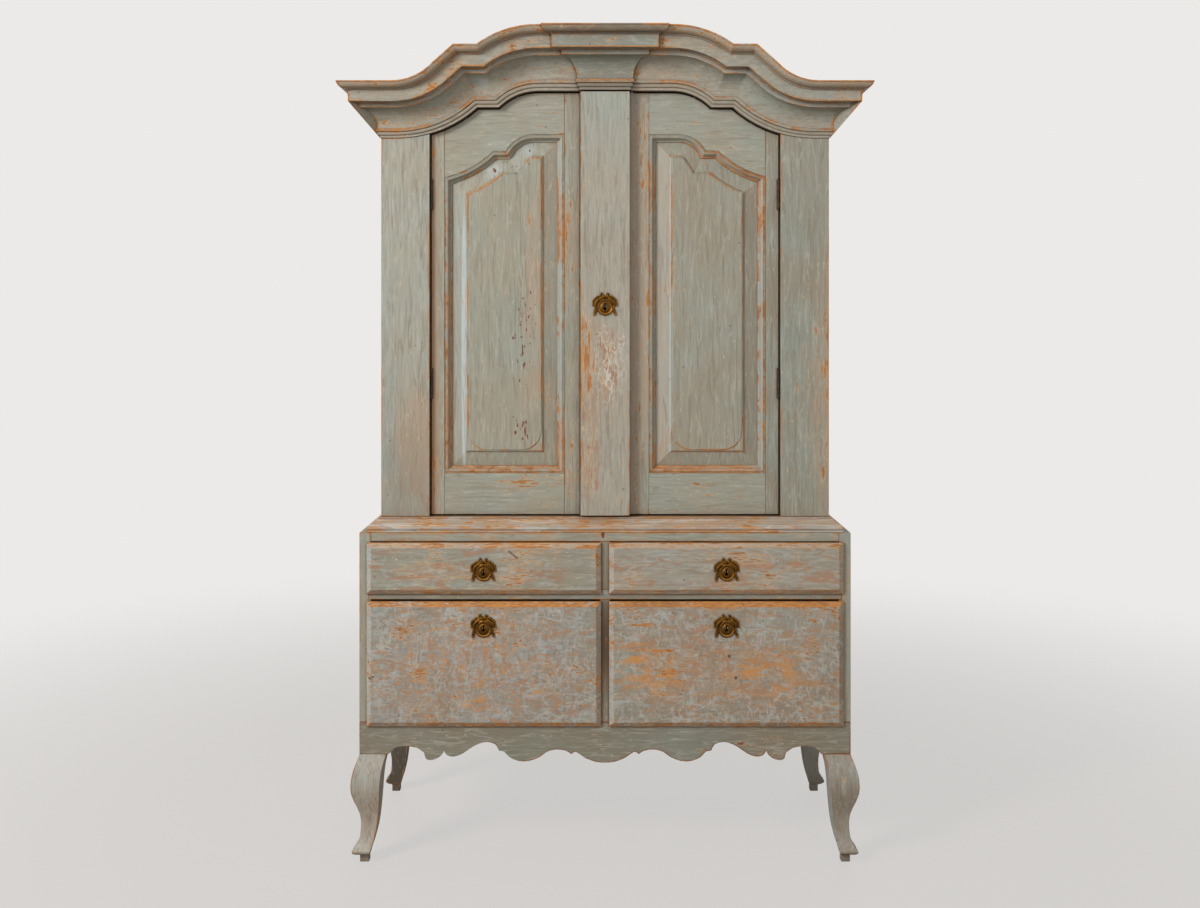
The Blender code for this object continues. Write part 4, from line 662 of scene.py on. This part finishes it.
paints = {
    # its dark patch makes the stile darker towards its foot
    "stileLeft": dict(
        boards=["face_stile_left"], faceY=-0.16, seed=1.3, cool="#9fa398", warm="#a49e8d", chalk="#c0beb0",
        strokes=grainStreaks, blueAndHighlightPatches=[(-0.47, 1.05, 0.03, 0.4, 0.4)],
        wornPatches=[(-0.4, 0.93, 0.03, 0.1, 0.22), (-0.384, 0.78, 0.02, 0.05, 0.4)],
        dirtAndShadePatches=[(-0.43, 0.76, 0.12, 0.28, 0.26)],
        stainPatches=[(-0.4, 0.93, 0.08, 0.16, 0.5), (-0.41, 0.8, 0.12, 0.15, 0.35)]),
    "stileRight": dict(
        boards=["face_stile_right"], faceY=-0.16, seed=2.9, warm="#918a78", cool="#8f9487",
        strokes=grainStreaks, wornPatches=[(0.484, 1.0, 0.012, 0.5, 0.3), (0.47, 0.83, 0.012, 0.04, 0.4)],
        stainPatches=[(0.47, 0.9, 0.04, 0.5, 0.3)]),
    # its long brown patch and recess darkening are the face stile's painted shadow, with dirt
    "hingeLeft": dict(
        boards=["hinge_stile_left"], faceY=-0.15, seed=4.1, edge=0.3, dirtAndShadeShare=0.62, recessWidth=0.05,
        grime="#a87850", creaseShadeShare=0.3, strokes=grainStreaks,
        wornPatches=[(-0.375, 0.82, 0.03, 0.14, 0.3), (-0.375, 1.52, 0.012, 0.05, 0.5)],
        dirtAndShadePatches=[(-0.38, 1.0, 0.03, 1.0, 0.75)]),
    "hingeRight": dict(
        boards=["hinge_stile_right"], **doorFrame, seed=5.7, edge=0.3, warm="#8f8672", cool="#8f9487",
        creaseShadeShare=0.45),
    "meetLeft": dict(
        boards=["meeting_stile_left"], **doorFrame, faceY=-0.15, seed=6.2, edge=0.45,
        wornPatches=[(-0.085, 1.35, 0.02, 0.3, 0.1), (-0.075, 0.9, 0.025, 0.2, 0.25)]),
    # its stronger brown recess darkening is the pilaster's painted shadow, with dirt
    "meetRight": dict(
        boards=["meeting_stile_right"], **doorFrame, faceY=-0.15, seed=7.7, edge=0.45, dirtAndShadeShare=0.82,
        grime="#75543a", wornPatches=[(0.07, 0.85, 0.02, 0.2, 0.3), (0.08, 1.55, 0.03, 0.15, 0.35)],
        stainPatches=[(0.08, 1.2, 0.06, 0.6, 0.62)]),
    "rail": dict(
        boards=["door_top_rail_left", "door_top_rail_right", "door_bottom_rail_left",
                "door_bottom_rail_right"],
        faceY=-0.15, grain=level, seed=8.3, edge=0.12, bare=(fromFront, 0.7), brushShare=0.3,
        strokes=levelStreaks,
        wornPatches=[(-0.22, 0.8, 0.09, 0.025, 0.2), (-0.09, 1.55, 0.04, 0.05, 0.25)]),
    "panelLeft": dict(
        boards=["door_panel_left"], **panelField, seed=9.9, blue="#b7c0bf", blueShare=0.08,
        slopes=[(fromLeft, 0.08, 0.15, "leftFace", 0.12, 0.0), rightSlope],
        # the first blue patch, in the pale blue of the lit faces, is a painted highlight along the field's
        # left step
        blueAndHighlightPatches=[(-0.307, 1.115, 0.008, 0.36, 4.0), (-0.241, 1.487, 0.035, 0.028, 0.7),
            (-0.164, 1.531, 0.022, 0.022, 0.6)],
        fleckPatches=[(-0.241, 1.489, 0.018, 0.014, 0.5), (-0.164, 1.531, 0.014, 0.014, 0.45),
            (-0.174, 1.135, 0.07, 0.27, 0.375), (-0.188, 0.92, 0.075, 0.06, 0.39),
            (-0.195, 1.49, 0.03, 0.03, 0.4)],
        stainPatches=[(-0.16, 1.15, 0.04, 0.4, 0.35)], wornPatches=[(-0.15, 1.3, 0.03, 0.2, 0.15)]),
    "panelRight": dict(
        boards=["door_panel_right"], **panelField, seed=11.3, cool="#979a8d", warm="#99917e",
        blush="#c2b6a8",
        # the left-facing bevel and step get painted highlights, the right-facing bevel painted shade
        slopes=[(fromLeft, 0.08, 0.15, "blush", 0.4, 0.03), stepSlope,
                (fromRight, 0.08, 0.15, "brown", 0.26, 0.08)],
        fleckPatches=[(0.245, 1.21, 0.012, 0.025, 0.44)]),
    "moulding": dict(
        boards=["panel_moulding_left", "panel_moulding_right"], faceY=-0.15, grain=(0.2, 1.0, 0.2),
        seed=12.9, brownShare=0.05, wood="#c48750", woodDark="#a0683c", softEdge=0.2, scuff=0.45,
        scuffSize=0.12, creaseShadeShare=0.45, dirtAndShadeShare=0.3, slopes=mouldSlopes, creaseShadeWidth=0.005,
        grime="#7a5230",
        wornPatches=[(-0.22, 0.83, 0.2, 0.02, 0.2), (0.22, 0.83, 0.2, 0.02, 0.25),
            (0.345, 1.39, 0.03, 0.1, 0.32), (0.345, 0.95, 0.03, 0.12, 0.3)]),
    "pilaster": dict(
        boards=["pilaster"], faceY=-0.17, seed=14.2, scuff=0.15, cool="#a1a498", warm="#a59c8c", edge=0.75,
        curl="#cbc5b8", blue="#b8b2a4", blueShare=0.15, wood="#c98d4e", rust="#a3735a", dryRange=0.3,
        fibreShare=0.42, blueAndHighlightPatches=[(0.015, 1.08, 0.04, 0.09, 0.55)],
        wornPatches=[(-0.041, 1.08, 0.03, 0.17, 0.66), (0.0, 1.06, 0.045, 0.1, 0.36),
            (-0.035, 0.86, 0.03, 0.12, 0.34)],
        stainPatches=[(-0.01, 1.07, 0.07, 0.16, 0.6), (-0.035, 0.9, 0.035, 0.2, 0.5)],
        strokes=[*grainStreaks, *swirls]),
    "waist": dict(
        boards=["waist_board"], grain=level, seed=15.8, scuff=0.5, scuffSize=0.1, edge=0.9, stainShare=0.85,
        wearBias=0.08, cool="#aaa89f", warm="#b3a18c", blue="#a9afb0", blueShare=0.6, curl="#cbc5ba",
        # the top of the waist is lightened as a painted highlight
        strokes=railStreaks, slopes=[(fromAbove, 0.3, 0.8, "stain", 0.35, 0.08)]),
    "topRail": dict(
        boards=["top_rail"], **caseRail, faceY=-0.19, seed=17.1, scuffSize=0.1, edge=1.0, stainShare=0.7,
        wornPatches=[(-0.2, 0.713, 0.6, 0.012, 0.6), (0.3, 0.713, 0.5, 0.012, 0.55)],
        fleckPatches=[(-0.004, 0.705, 0.0065, 0.019, 1.0)]),
    "dustBoard": dict(
        boards=["dust_board"], **caseRail, seed=17.9, scuffSize=0.12, stainShare=0.6, cool="#8b8b7e",
        warm="#8f8572"),
    # browned all over and darkened in a patch low down: painted shade between the proud drawer fronts
    "divider": dict(
        boards=["centre_partition"], faceY=-0.19, seed=18.4, scuff=0.4, bare=(fromFront, -0.5),
        dirtAndShadeShare=1.0, brownShare=0.3, grime="#4f3822", dirtAndShadePatches=[(0.0, 0.47, 0.1, 0.17, 0.95)]),
    "sideLeft": dict(
        boards=["base_side_left", "upper_side_left"], **caseSide, seed=19.6, bare=(fromRight, 0.7)),
    "sideRight": dict(
        boards=["base_side_right", "upper_side_right"], **caseSide, seed=20.3, bare=(fromLeft, 0.7)),
    "apron": dict(
        boards=["apron"], grain=level, seed=21.2, cool="#828172", warm="#857a67", stainShare=0.35, edge=1.2,
        wood="#945f33", woodDark="#7a4c2a", strokes=levelStreaks),
    "leftLeg": dict(
        boards=["leg_front_left"], **frontLeg, seed=22.8, cool="#a7a79e", warm="#aa9c8c", blueShare=0.5),
    "rightLeg": dict(
        boards=["leg_front_right"], **frontLeg, seed=22.1, cool="#96938a", warm="#948878", blueShare=0.3,
        edge=0.9),
    # paint darkened as painted shade, for this leg stands back in the shadow of the case
    "rearLeg": dict(
        boards=["leg_rear_left"], seed=23.5, cool="#5f5d53", warm="#5c5347", blueShare=0.1, edge=0.5,
        chalk="#716d5e", brushDark="#4c4438"),
    # paint lightened as painted light, to show the light this leg gets from the left
    "rearRightLeg": dict(
        boards=["leg_rear_right"], seed=23.9, cool="#a3a197", warm="#9c9182", blueShare=0.2, edge=0.5,
        chalk="#a3a093", brushDark="#756b5c"),
    "cornice": dict(
        boards=["cornice_front", "cornice_return_left", "cornice_return_right"], **moulded, faceY=-0.19,
        grain=(0.3, 1.0, 0.6), seed=24.4, scuffSize=0.18, cool="#9b9f93", warm="#9e9786", brown="#b1957a",
        strokes=levelStreaks, reachFrom=(0.4845, -0.16275),
        blueAndHighlightPatches=[(-0.272, 1.672, 0.026, 0.04, 1.0)]),
    "keystone": dict(
        boards=["keystone"], **moulded, grain=(0.2, 1.0, 0.8), seed=25.9, scuffSize=0.15, cool="#8b8f83",
        warm="#8b8474", brown="#74583e", dirtAndShadeShare=0.8, reachFrom=(0.3, -0.17275)),
    "upperDrawerLeft": dict(
        boards=["drawer_front_upper_left"], **upperFront, seed=26.4, scuff=0.45, cool="#939486",
        warm="#998f7c", wornPatches=[(-0.36, 0.635, 0.13, 0.035, 0.34), (-0.26, 0.612, 0.28, 0.015, 0.2)],
        dirtAndShadePatches=[(-0.204 + 0.0033 * i, 0.667 - 0.0028 * i, 0.0042, 0.0026, 1.4) for i in range(6)]),
    "upperDrawerRight": dict(
        boards=["drawer_front_upper_right"], **upperFront, seed=29.1, scuff=0.5, cool="#9b998b",
        warm="#a39481", wornPatches=[(0.28, 0.65, 0.2, 0.03, 0.3)]),
    "lowerDrawerLeft": dict(
        boards=["drawer_front_lower_left"], **lowerFront, seed=31.7, scuff=0.42, blueShare=0.55,
        blue="#989e9e", cool="#94968c", warm="#968c7e",
        wornPatches=[(-0.26, 0.553, 0.28, 0.02, 0.3), (-0.4, 0.41, 0.06, 0.03, 0.25)],
        stainPatches=[(-0.3, 0.42, 0.28, 0.16, 0.2)], blueAndHighlightPatches=[(-0.28, 0.445, 0.27, 0.07, 0.6)],
        dirtAndShadePatches=[(-0.502, 0.396, 0.006, 0.0035, 1.6), (-0.496, 0.4, 0.006, 0.003, 1.3)],
        strokes=[*maze,
            (0.25, 1.0, 0.02, 1.0, 0.06, "wood", 1.0, (-0.4, 0.506, 0.09, 0.012, 1.2),
                (-0.41, 0.462, 0.035, 0.025, 0.9), (-0.4, 0.405, 0.08, 0.035, 1.0),
                (-0.285, 0.35, 0.07, 0.035, 0.9), (-0.14, 0.36, 0.06, 0.02, 0.8),
                (-0.06, 0.53, 0.05, 0.03, 0.8)),
            (1.0, 0.5, 0.022, 1.8, 0.045, "rust", 0.7, (-0.26, 0.43, 0.34, 0.2, 1.0)),
            (1.0, 0.7, 0.02, 1.8, 0.03, "wood", 0.8, (-0.28, 0.43, 0.36, 0.2, 0.9))]),
    "lowerDrawerRight": dict(
        boards=["drawer_front_lower_right"], **lowerFront, seed=33.2, scuff=0.45, blueShare=0.4,
        blue="#989c97", cool="#939487", warm="#958674",
        wornPatches=[(0.26, 0.553, 0.28, 0.02, 0.3), (0.105, 0.456, 0.09, 0.008, 0.62),
            (0.07, 0.51, 0.07, 0.005, 0.5)],
        stainPatches=[(0.26, 0.43, 0.3, 0.18, 0.3)],
        dirtAndShadePatches=[(0.265, 0.444, 0.005, 0.005, 2.0), (0.279, 0.398, 0.005, 0.005, 2.0)],
        strokes=[*maze,
            (0.22, 1.0, 0.021, 1.0, 0.07, "wood", 1.0, (0.1, 0.43, 0.13, 0.09, 1.0),
                (0.34, 0.41, 0.14, 0.09, 0.8)),
            (1.0, 0.6, 0.021, 1.8, 0.055, "wood", 1.0, (0.12, 0.41, 0.14, 0.09, 0.9),
                (0.33, 0.42, 0.14, 0.08, 0.8)),
            (1.0, 1.0, 0.022, 1.8, 0.045, "rust", 0.8, (0.26, 0.42, 0.34, 0.18, 1.0))]),
}

pines = {
    "planedPineUpright": dict(stretch=upright, seed=3.3, boards=["base_back", "upper_back"]),
    "planedPineLevel": dict(stretch=level, seed=5.1, boards=[
        "base_bottom", "upper_bottom", "shelf", "roof", "drawer_tray_lower_left", "drawer_tray_lower_right",
        "drawer_tray_upper_left", "drawer_tray_upper_right"]),
}

finishOf = {}
for name, look in paints.items():
    paint = agedPaint(name, look)
    finishOf.update({board: (paint, edgeLook["paintedRadius"]) for board in look["boards"]})
for name, look in pines.items():
    pine = planedPine(name, look["stretch"], look["seed"])
    finishOf.update({board: (pine, edgeLook["pineRadius"]) for board in look["boards"]})
brass = castBrass()
iron = forgedIron()
welding = weldedTriangles()
boardShading = cornerShading("boardShading", edgeLook["sharpAngle"])
panelShading = cornerShading("panelShading", edgeLook["panelAngle"])
corniceShading = cornerShading("corniceShading", edgeLook["sharpAngle"], mitred=True)
print("materials made:", len(paints) + len(pines) + 2)

for name, node in nodes.items():
    metal = brass if name.startswith("key_plate") else iron
    finish, radius = finishOf.get(name, (metal, edgeLook["metalRadius"]))
    node.data.materials[0] = finish
    shading = panelShading if "panel_" in name else corniceShading if "cornice" in name else boardShading
    wearCorners(node, radius, shading)
print("CAD boards finished:", len(nodes))


# Cast key plates: a boss round the keyhole, ribbed swags from two knobs, and hanging tails; all
# sizes in millimetres, across and up from the keyhole's middle
plateLook = {
    "thick": 1.3, "back": 0.1, "outlineSteps": 3, "smoothSteps": 5, "openingShare": 0.8,
    # right half of the outline from the top middle to the foot
    "outline": [
        (0, 22.0), (2.6, 24.0), (5.2, 29.2), (8.2, 28.0), (10.5, 24.6), (15.5, 21.8), (21.5, 17.2),
        (25.6, 12.0), (27.0, 5.5), (25.8, 1.6), (21.6, 1.0), (20.4, -4.0), (22.2, -10.5), (25.2, -17.4),
        (22.8, -20.2), (19.6, -17.6), (17.0, -11.0), (14.6, -8.5), (12.0, -13.0), (7.0, -18.0), (0, -20.4)],
    "bossHalf": (17.2, 17.4), "bossMiddle": -2.2, "bossNarrowing": 0.08, "bossSides": 40,
    # boss rings: share of the boss, share of the way to the keyhole's shape, height
    "bossRings": [
        (1.0, 0, 0.1), (1.0, 0, 1.9), (0.96, 0, 2.8), (0.9, 0, 3.1), (0.84, 0, 2.7), (0.78, 0, 1.9),
        (0.7, 0, 1.8), (0.62, 0.1, 2.3), (0.56, 0.3, 3.2), (0.5, 0.5, 4.0), (0.45, 0.7, 4.2),
        (0.4, 0.88, 3.9), (0.36, 1.0, 3.3), (0.36, 1.0, 0.7), (0.75, 1.15, 0.6), (0.75, 1.15, 0.1)],
    "holeHalf": (5.75, 9.2), "holeNarrowing": 0.42,
    # ribs as points across, up, height, radius
    "ribSides": 10, "ribFlatness": 0.75, "ribSink": 0.7, "ribTaper": (0.35, 0.8),
    "ribs": [
        [(-9.5, 23.4, 1.6, 1.2), (-15.0, 21.0, 2.2, 1.9), (-20.5, 17.2, 2.3, 2.1), (-25.0, 12.6, 2.1, 1.9),
         (-26.2, 6.4, 1.7, 1.4)],
        [(-7.6, 17.0, 1.8, 1.2), (-12.6, 14.0, 2.6, 1.7), (-18.0, 9.4, 2.7, 1.9), (-20.8, 4.4, 2.3, 1.7),
         (-20.4, -2.0, 2.2, 2.1), (-21.6, -9.6, 2.1, 2.4), (-22.4, -15.4, 1.9, 2.8),
         (-22.6, -18.6, 1.6, 2.2)],
        [(-6.4, 20.6, 1.7, 1.1), (-11.4, 18.4, 2.1, 1.3), (-17.0, 14.4, 2.2, 1.3), (-21.6, 9.6, 1.8, 1.0)],
        [(8.4, 24.8, 1.6, 1.2), (14.0, 20.8, 2.2, 1.8), (20.0, 15.6, 2.3, 2.0), (24.8, 10.6, 2.0, 1.8),
         (26.2, 4.6, 1.6, 1.4)],
        [(7.4, 16.4, 1.9, 1.3), (12.8, 10.8, 2.9, 2.1), (18.2, 6.4, 2.7, 2.1), (19.2, 1.4, 2.2, 1.7),
         (18.4, -4.2, 2.3, 2.0), (20.0, -9.0, 2.2, 2.3), (21.6, -14.0, 2.0, 2.6), (22.8, -18.0, 1.6, 2.1)],
        [(6.8, 20.8, 1.7, 1.0), (12.0, 16.4, 2.1, 1.2), (17.6, 11.8, 2.1, 1.2), (21.8, 8.4, 1.8, 1.0)],
        [(-7.0, 26.4, 1.8, 1.6), (-5.0, 22.0, 2.2, 1.4), (-4.4, 18.0, 1.8, 1.0)],
        [(6.0, 26.2, 1.8, 1.6), (4.6, 22.0, 2.2, 1.4), (4.0, 18.0, 1.8, 1.0)],
        [(-5.4, 18.6, 1.8, 0.8), (-1.6, 20.8, 3.0, 2.0), (2.4, 20.4, 3.0, 1.8), (5.0, 18.0, 1.8, 0.8)],
    ],
    # knobs as across, up, radius, height, and their profile as share of the radius and of the height
    "knobSides": 14,
    "knobProfile": [(0.8, 0.0), (0.86, 0.35), (1.0, 0.55), (0.92, 0.78), (0.66, 0.93), (0.3, 1.0)],
    "knobs": [
        (-7.0, 27.4, 3.0, 3.6), (6.0, 27.0, 3.0, 3.6), (-25.6, 2.4, 2.3, 2.6), (26.0, 2.0, 2.1, 2.4),
        (15.8, 22.6, 1.5, 2.0), (20.6, 18.8, 1.5, 2.0), (24.8, 14.4, 1.5, 2.0), (14.6, -6.6, 1.5, 2.4),
        (-22.6, -18.0, 2.7, 2.6), (22.6, -17.2, 2.6, 2.6)],
    "keyholeUp": 0.4 / 0.98,  # the keyhole's middle on the CAD plate, as a share of its height
}


# Smooth line through rows of numbers
def smoothLine(rows, steps):
    line = []
    for i in range(len(rows) - 1):
        quad = [rows[max(i - 1, 0)], rows[i], rows[i + 1], rows[min(i + 2, len(rows) - 1)]]
        for step in range(steps):
            t = step / steps
            line.append([(2 * b + (c - a) * t + (2 * a - 5 * b + 4 * c - d) * t ** 2
                          + (3 * b - a - 3 * c + d) * t ** 3) / 2 for a, b, c, d in zip(*quad)])
    return line + [list(rows[-1])]


# Skins a run of rings and closes its two ends, or joins the last ring to the first
def skinRings(mesh, rings, joined=False):
    made = [[mesh.verts.new(point) for point in ring] for ring in rings]
    pairs = list(zip(made, made[1:])) + ([(made[-1], made[0])] if joined else [])
    for first, second in pairs:
        for i in range(len(first)):
            j = (i + 1) % len(first)
            mesh.faces.new((first[i], first[j], second[j], second[i]))
    if not joined:
        mesh.faces.new(made[0][::-1])
        mesh.faces.new(made[-1])


# Turned shape round a line from front to back: its rings as radius and distance along that line
def turnedRings(x, z, sides, profile):
    turns = [math.tau * i / sides for i in range(sides)]
    return [[(x + radius * math.cos(turn), y, z + radius * math.sin(turn)) for turn in turns]
            for radius, y in profile]


def ribRings(points):
    line = smoothLine(points, plateLook["smoothSteps"])
    rings = []
    sides = plateLook["ribSides"]
    for i, (x, z, lift, radius) in enumerate(line):
        before, after = line[max(i - 1, 0)], line[min(i + 1, len(line) - 1)]
        run = Vector((after[0] - before[0], after[1] - before[1])).normalized()
        fromEnd = min(i, len(line) - 1 - i)
        radius *= plateLook["ribTaper"][fromEnd] if fromEnd < len(plateLook["ribTaper"]) else 1.0
        ring = []
        for side in range(sides):
            angle = math.tau * side / sides
            out = radius * math.cos(angle)
            rise = lift * plateLook["ribSink"] + radius * plateLook["ribFlatness"] * math.sin(angle)
            ring.append((x - run.y * out, -rise, z + run.x * out))
        rings.append(ring)
    return rings


def bossRings():
    look = plateLook
    rings = []
    for share, toHole, height in look["bossRings"]:
        ring = []
        for step in range(look["bossSides"]):
            angle = math.tau * step / look["bossSides"]
            across, up = math.cos(angle), math.sin(angle)
            egg = Vector((look["bossHalf"][0] * share * across * (1 - look["bossNarrowing"] * up),
                          look["bossMiddle"] + look["bossHalf"][1] * share * up))
            narrow = 1 - look["holeNarrowing"] * (1 + up) / 2
            hole = Vector((look["holeHalf"][0] * across * narrow, look["holeHalf"][1] * up))
            spot = egg + (hole - egg) * toHole
            ring.append((spot.x, -height, spot.y))
        rings.append(ring)
    return rings


# Flat plate with the smooth outline and an opening under the boss
def plateSheet(mesh):
    right = smoothLine(plateLook["outline"], plateLook["outlineSteps"])
    outline = right + [[-x, z] for x, z in right[-2:0:-1]]
    opening = [(x * plateLook["openingShare"], z * plateLook["openingShare"]) for x, _, z in bossRings()[0]]
    loops = [[Vector((x, 0, z)) for x, z in loop] for loop in (outline, opening)]
    flat = [point for loop in loops for point in loop]
    layers = [[mesh.verts.new((p.x, -depth, p.z)) for p in flat]
              for depth in (plateLook["back"], plateLook["thick"])]
    for face in tessellate_polygon(loops):
        mesh.faces.new([layers[0][i] for i in face])
        mesh.faces.new([layers[1][i] for i in reversed(face)])
    start = 0
    for loop in loops:
        for i in range(len(loop)):
            a, b = start + i, start + (i + 1) % len(loop)
            mesh.faces.new((layers[0][a], layers[0][b], layers[1][b], layers[1][a]))
        start += len(loop)


def makeKeyPlate(node, body, number):
    low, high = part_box(node)
    keyhole = Vector(((low.x + high.x) / 2, high.y, low.z + (high.z - low.z) * plateLook["keyholeUp"]))
    mesh = bmesh.new()
    plateSheet(mesh)
    skinRings(mesh, bossRings(), joined=True)
    for points in plateLook["ribs"]:
        skinRings(mesh, ribRings(points))
    for x, z, radius, height in plateLook["knobs"]:
        profile = [(radius * share, -height * rise) for share, rise in plateLook["knobProfile"]]
        skinRings(mesh, turnedRings(x, z, plateLook["knobSides"], profile))
    bmesh.ops.recalc_face_normals(mesh, faces=mesh.faces)
    for vert in mesh.verts:
        vert.co = keyhole + vert.co / 1000  # millimetres to metres
    data = bpy.data.meshes.new(f"castPlate{number}")
    mesh.to_mesh(data)
    mesh.free()
    for face in data.polygons:
        face.use_smooth = True
    data.materials.append(brass)
    plate = addObject(f"castPlate{number}", data)
    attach(plate, body)
    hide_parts(node)


plateHomes = [("key_plate_door", "door_right"), ("key_plate_upper_left", "drawer_upper_left"),
              ("key_plate_upper_right", "drawer_upper_right"), ("key_plate_lower_left", "drawer_lower_left"),
              ("key_plate_lower_right", "drawer_lower_right")]
for number, (node, body) in enumerate(plateHomes):
    makeKeyPlate(node, body, number)
print("key plates made:", len(plateHomes))


# Backs and roof: sawn planks side by side with open joints, held by forged nails with flat heads
plankLook = {
    "gap": 0.0009, "spread": 0.22, "seed": 7,
    # nails: where they stand across a plank, how far they stray, and their heads
    "nailShares": (0.2, 0.8), "strayAcross": 0.006, "strayUp": 0.003,
    "nailRadius": 0.0042, "nailRise": 0.0012, "nailSides": 9,
    "nailProfile": [(0.95, -0.3), (1.0, 0.4), (0.7, 0.9), (0.25, 1.0)],
    # node: piece, plank width, heights of the nails above its foot, or below its head where negative
    "homes": {"upper_back": ("upperBackPlanks", 0.145, (0.012, 0.33, 0.62, -0.022)),
              "base_back": ("baseBackPlanks", 0.17, (0.012, 0.2, -0.02)),
              "roof": ("roofPlanks", 0.075, ())},
}
plankPine = finishOf["upper_back"][0]


# Cuts a CAD board into planks across its width, each with a tone of its own
def makePlanks(node, name, width, nailHeights):
    chance = random.Random(plankLook["seed"])
    low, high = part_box(node)
    count = round((high.x - low.x) / width)
    shares = [1 + chance.uniform(-1, 1) * plankLook["spread"] for i in range(count)]
    joints = [low.x + (high.x - low.x) * sum(shares[:i]) / sum(shares) for i in range(1, count)]
    heads = [(plankLook["nailRadius"] * share, high.y + plankLook["nailRise"] * rise)
             for share, rise in plankLook["nailProfile"]]
    whole = bmesh.new()
    toneLayer = whole.faces.layers.float.new("plankTone")
    nails = bmesh.new()
    for left, right in zip([None, *joints], [*joints, None]):
        plank = bmesh.new()
        plank.from_mesh(nodes[node].data)
        bmesh.ops.remove_doubles(plank, verts=plank.verts, dist=edgeLook["weldDistance"])
        for spot, side in ((left, -1), (right, 1)):
            if spot is None:
                continue
            cut = bmesh.ops.bisect_plane(
                plank, geom=[*plank.verts, *plank.edges, *plank.faces], dist=0.000001,
                plane_co=(spot - side * plankLook["gap"], 0, 0), plane_no=(side, 0, 0), clear_outer=True)
            rim = [part for part in cut["geom_cut"] if isinstance(part, bmesh.types.BMEdge)]
            bmesh.ops.triangle_fill(plank, edges=rim, use_beauty=True, use_dissolve=True)
        across = [vert.co.x for vert in plank.verts]
        first, last = min(across), max(across)
        head = min(max(vert.co.z for vert in plank.verts if abs(vert.co.x - side) < 0.0001)
                   for side in (first, last))
        for height in nailHeights:
            foot = low.z if height > 0 else head
            for share in plankLook["nailShares"]:
                strayX = chance.uniform(-plankLook["strayAcross"], plankLook["strayAcross"])
                strayZ = chance.uniform(-plankLook["strayUp"], plankLook["strayUp"])
                x, z = first + (last - first) * share + strayX, foot + height + strayZ
                skinRings(nails, turnedRings(x, z, plankLook["nailSides"], heads))
        tone = chance.random()
        for face in plank.faces:
            made = whole.faces.new([whole.verts.new(vert.co) for vert in face.verts])
            made[toneLayer] = tone
        plank.free()
    bmesh.ops.recalc_face_normals(nails, faces=nails.faces)
    for mesh, piece, finish in ((whole, name, plankPine), (nails, name + "Nails", iron)):
        if mesh.faces:
            data = bpy.data.meshes.new(piece)
            mesh.to_mesh(data)
            data.materials.append(finish)
            made = addObject(piece, data)
            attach(made, "case")
            if finish is not iron:
                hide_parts(node)
                wearCorners(made, edgeLook["pineRadius"], boardShading)
        mesh.free()


for node, (piece, width, nailHeights) in plankLook["homes"].items():
    makePlanks(node, piece, width, nailHeights)
print("backs and roof planked")
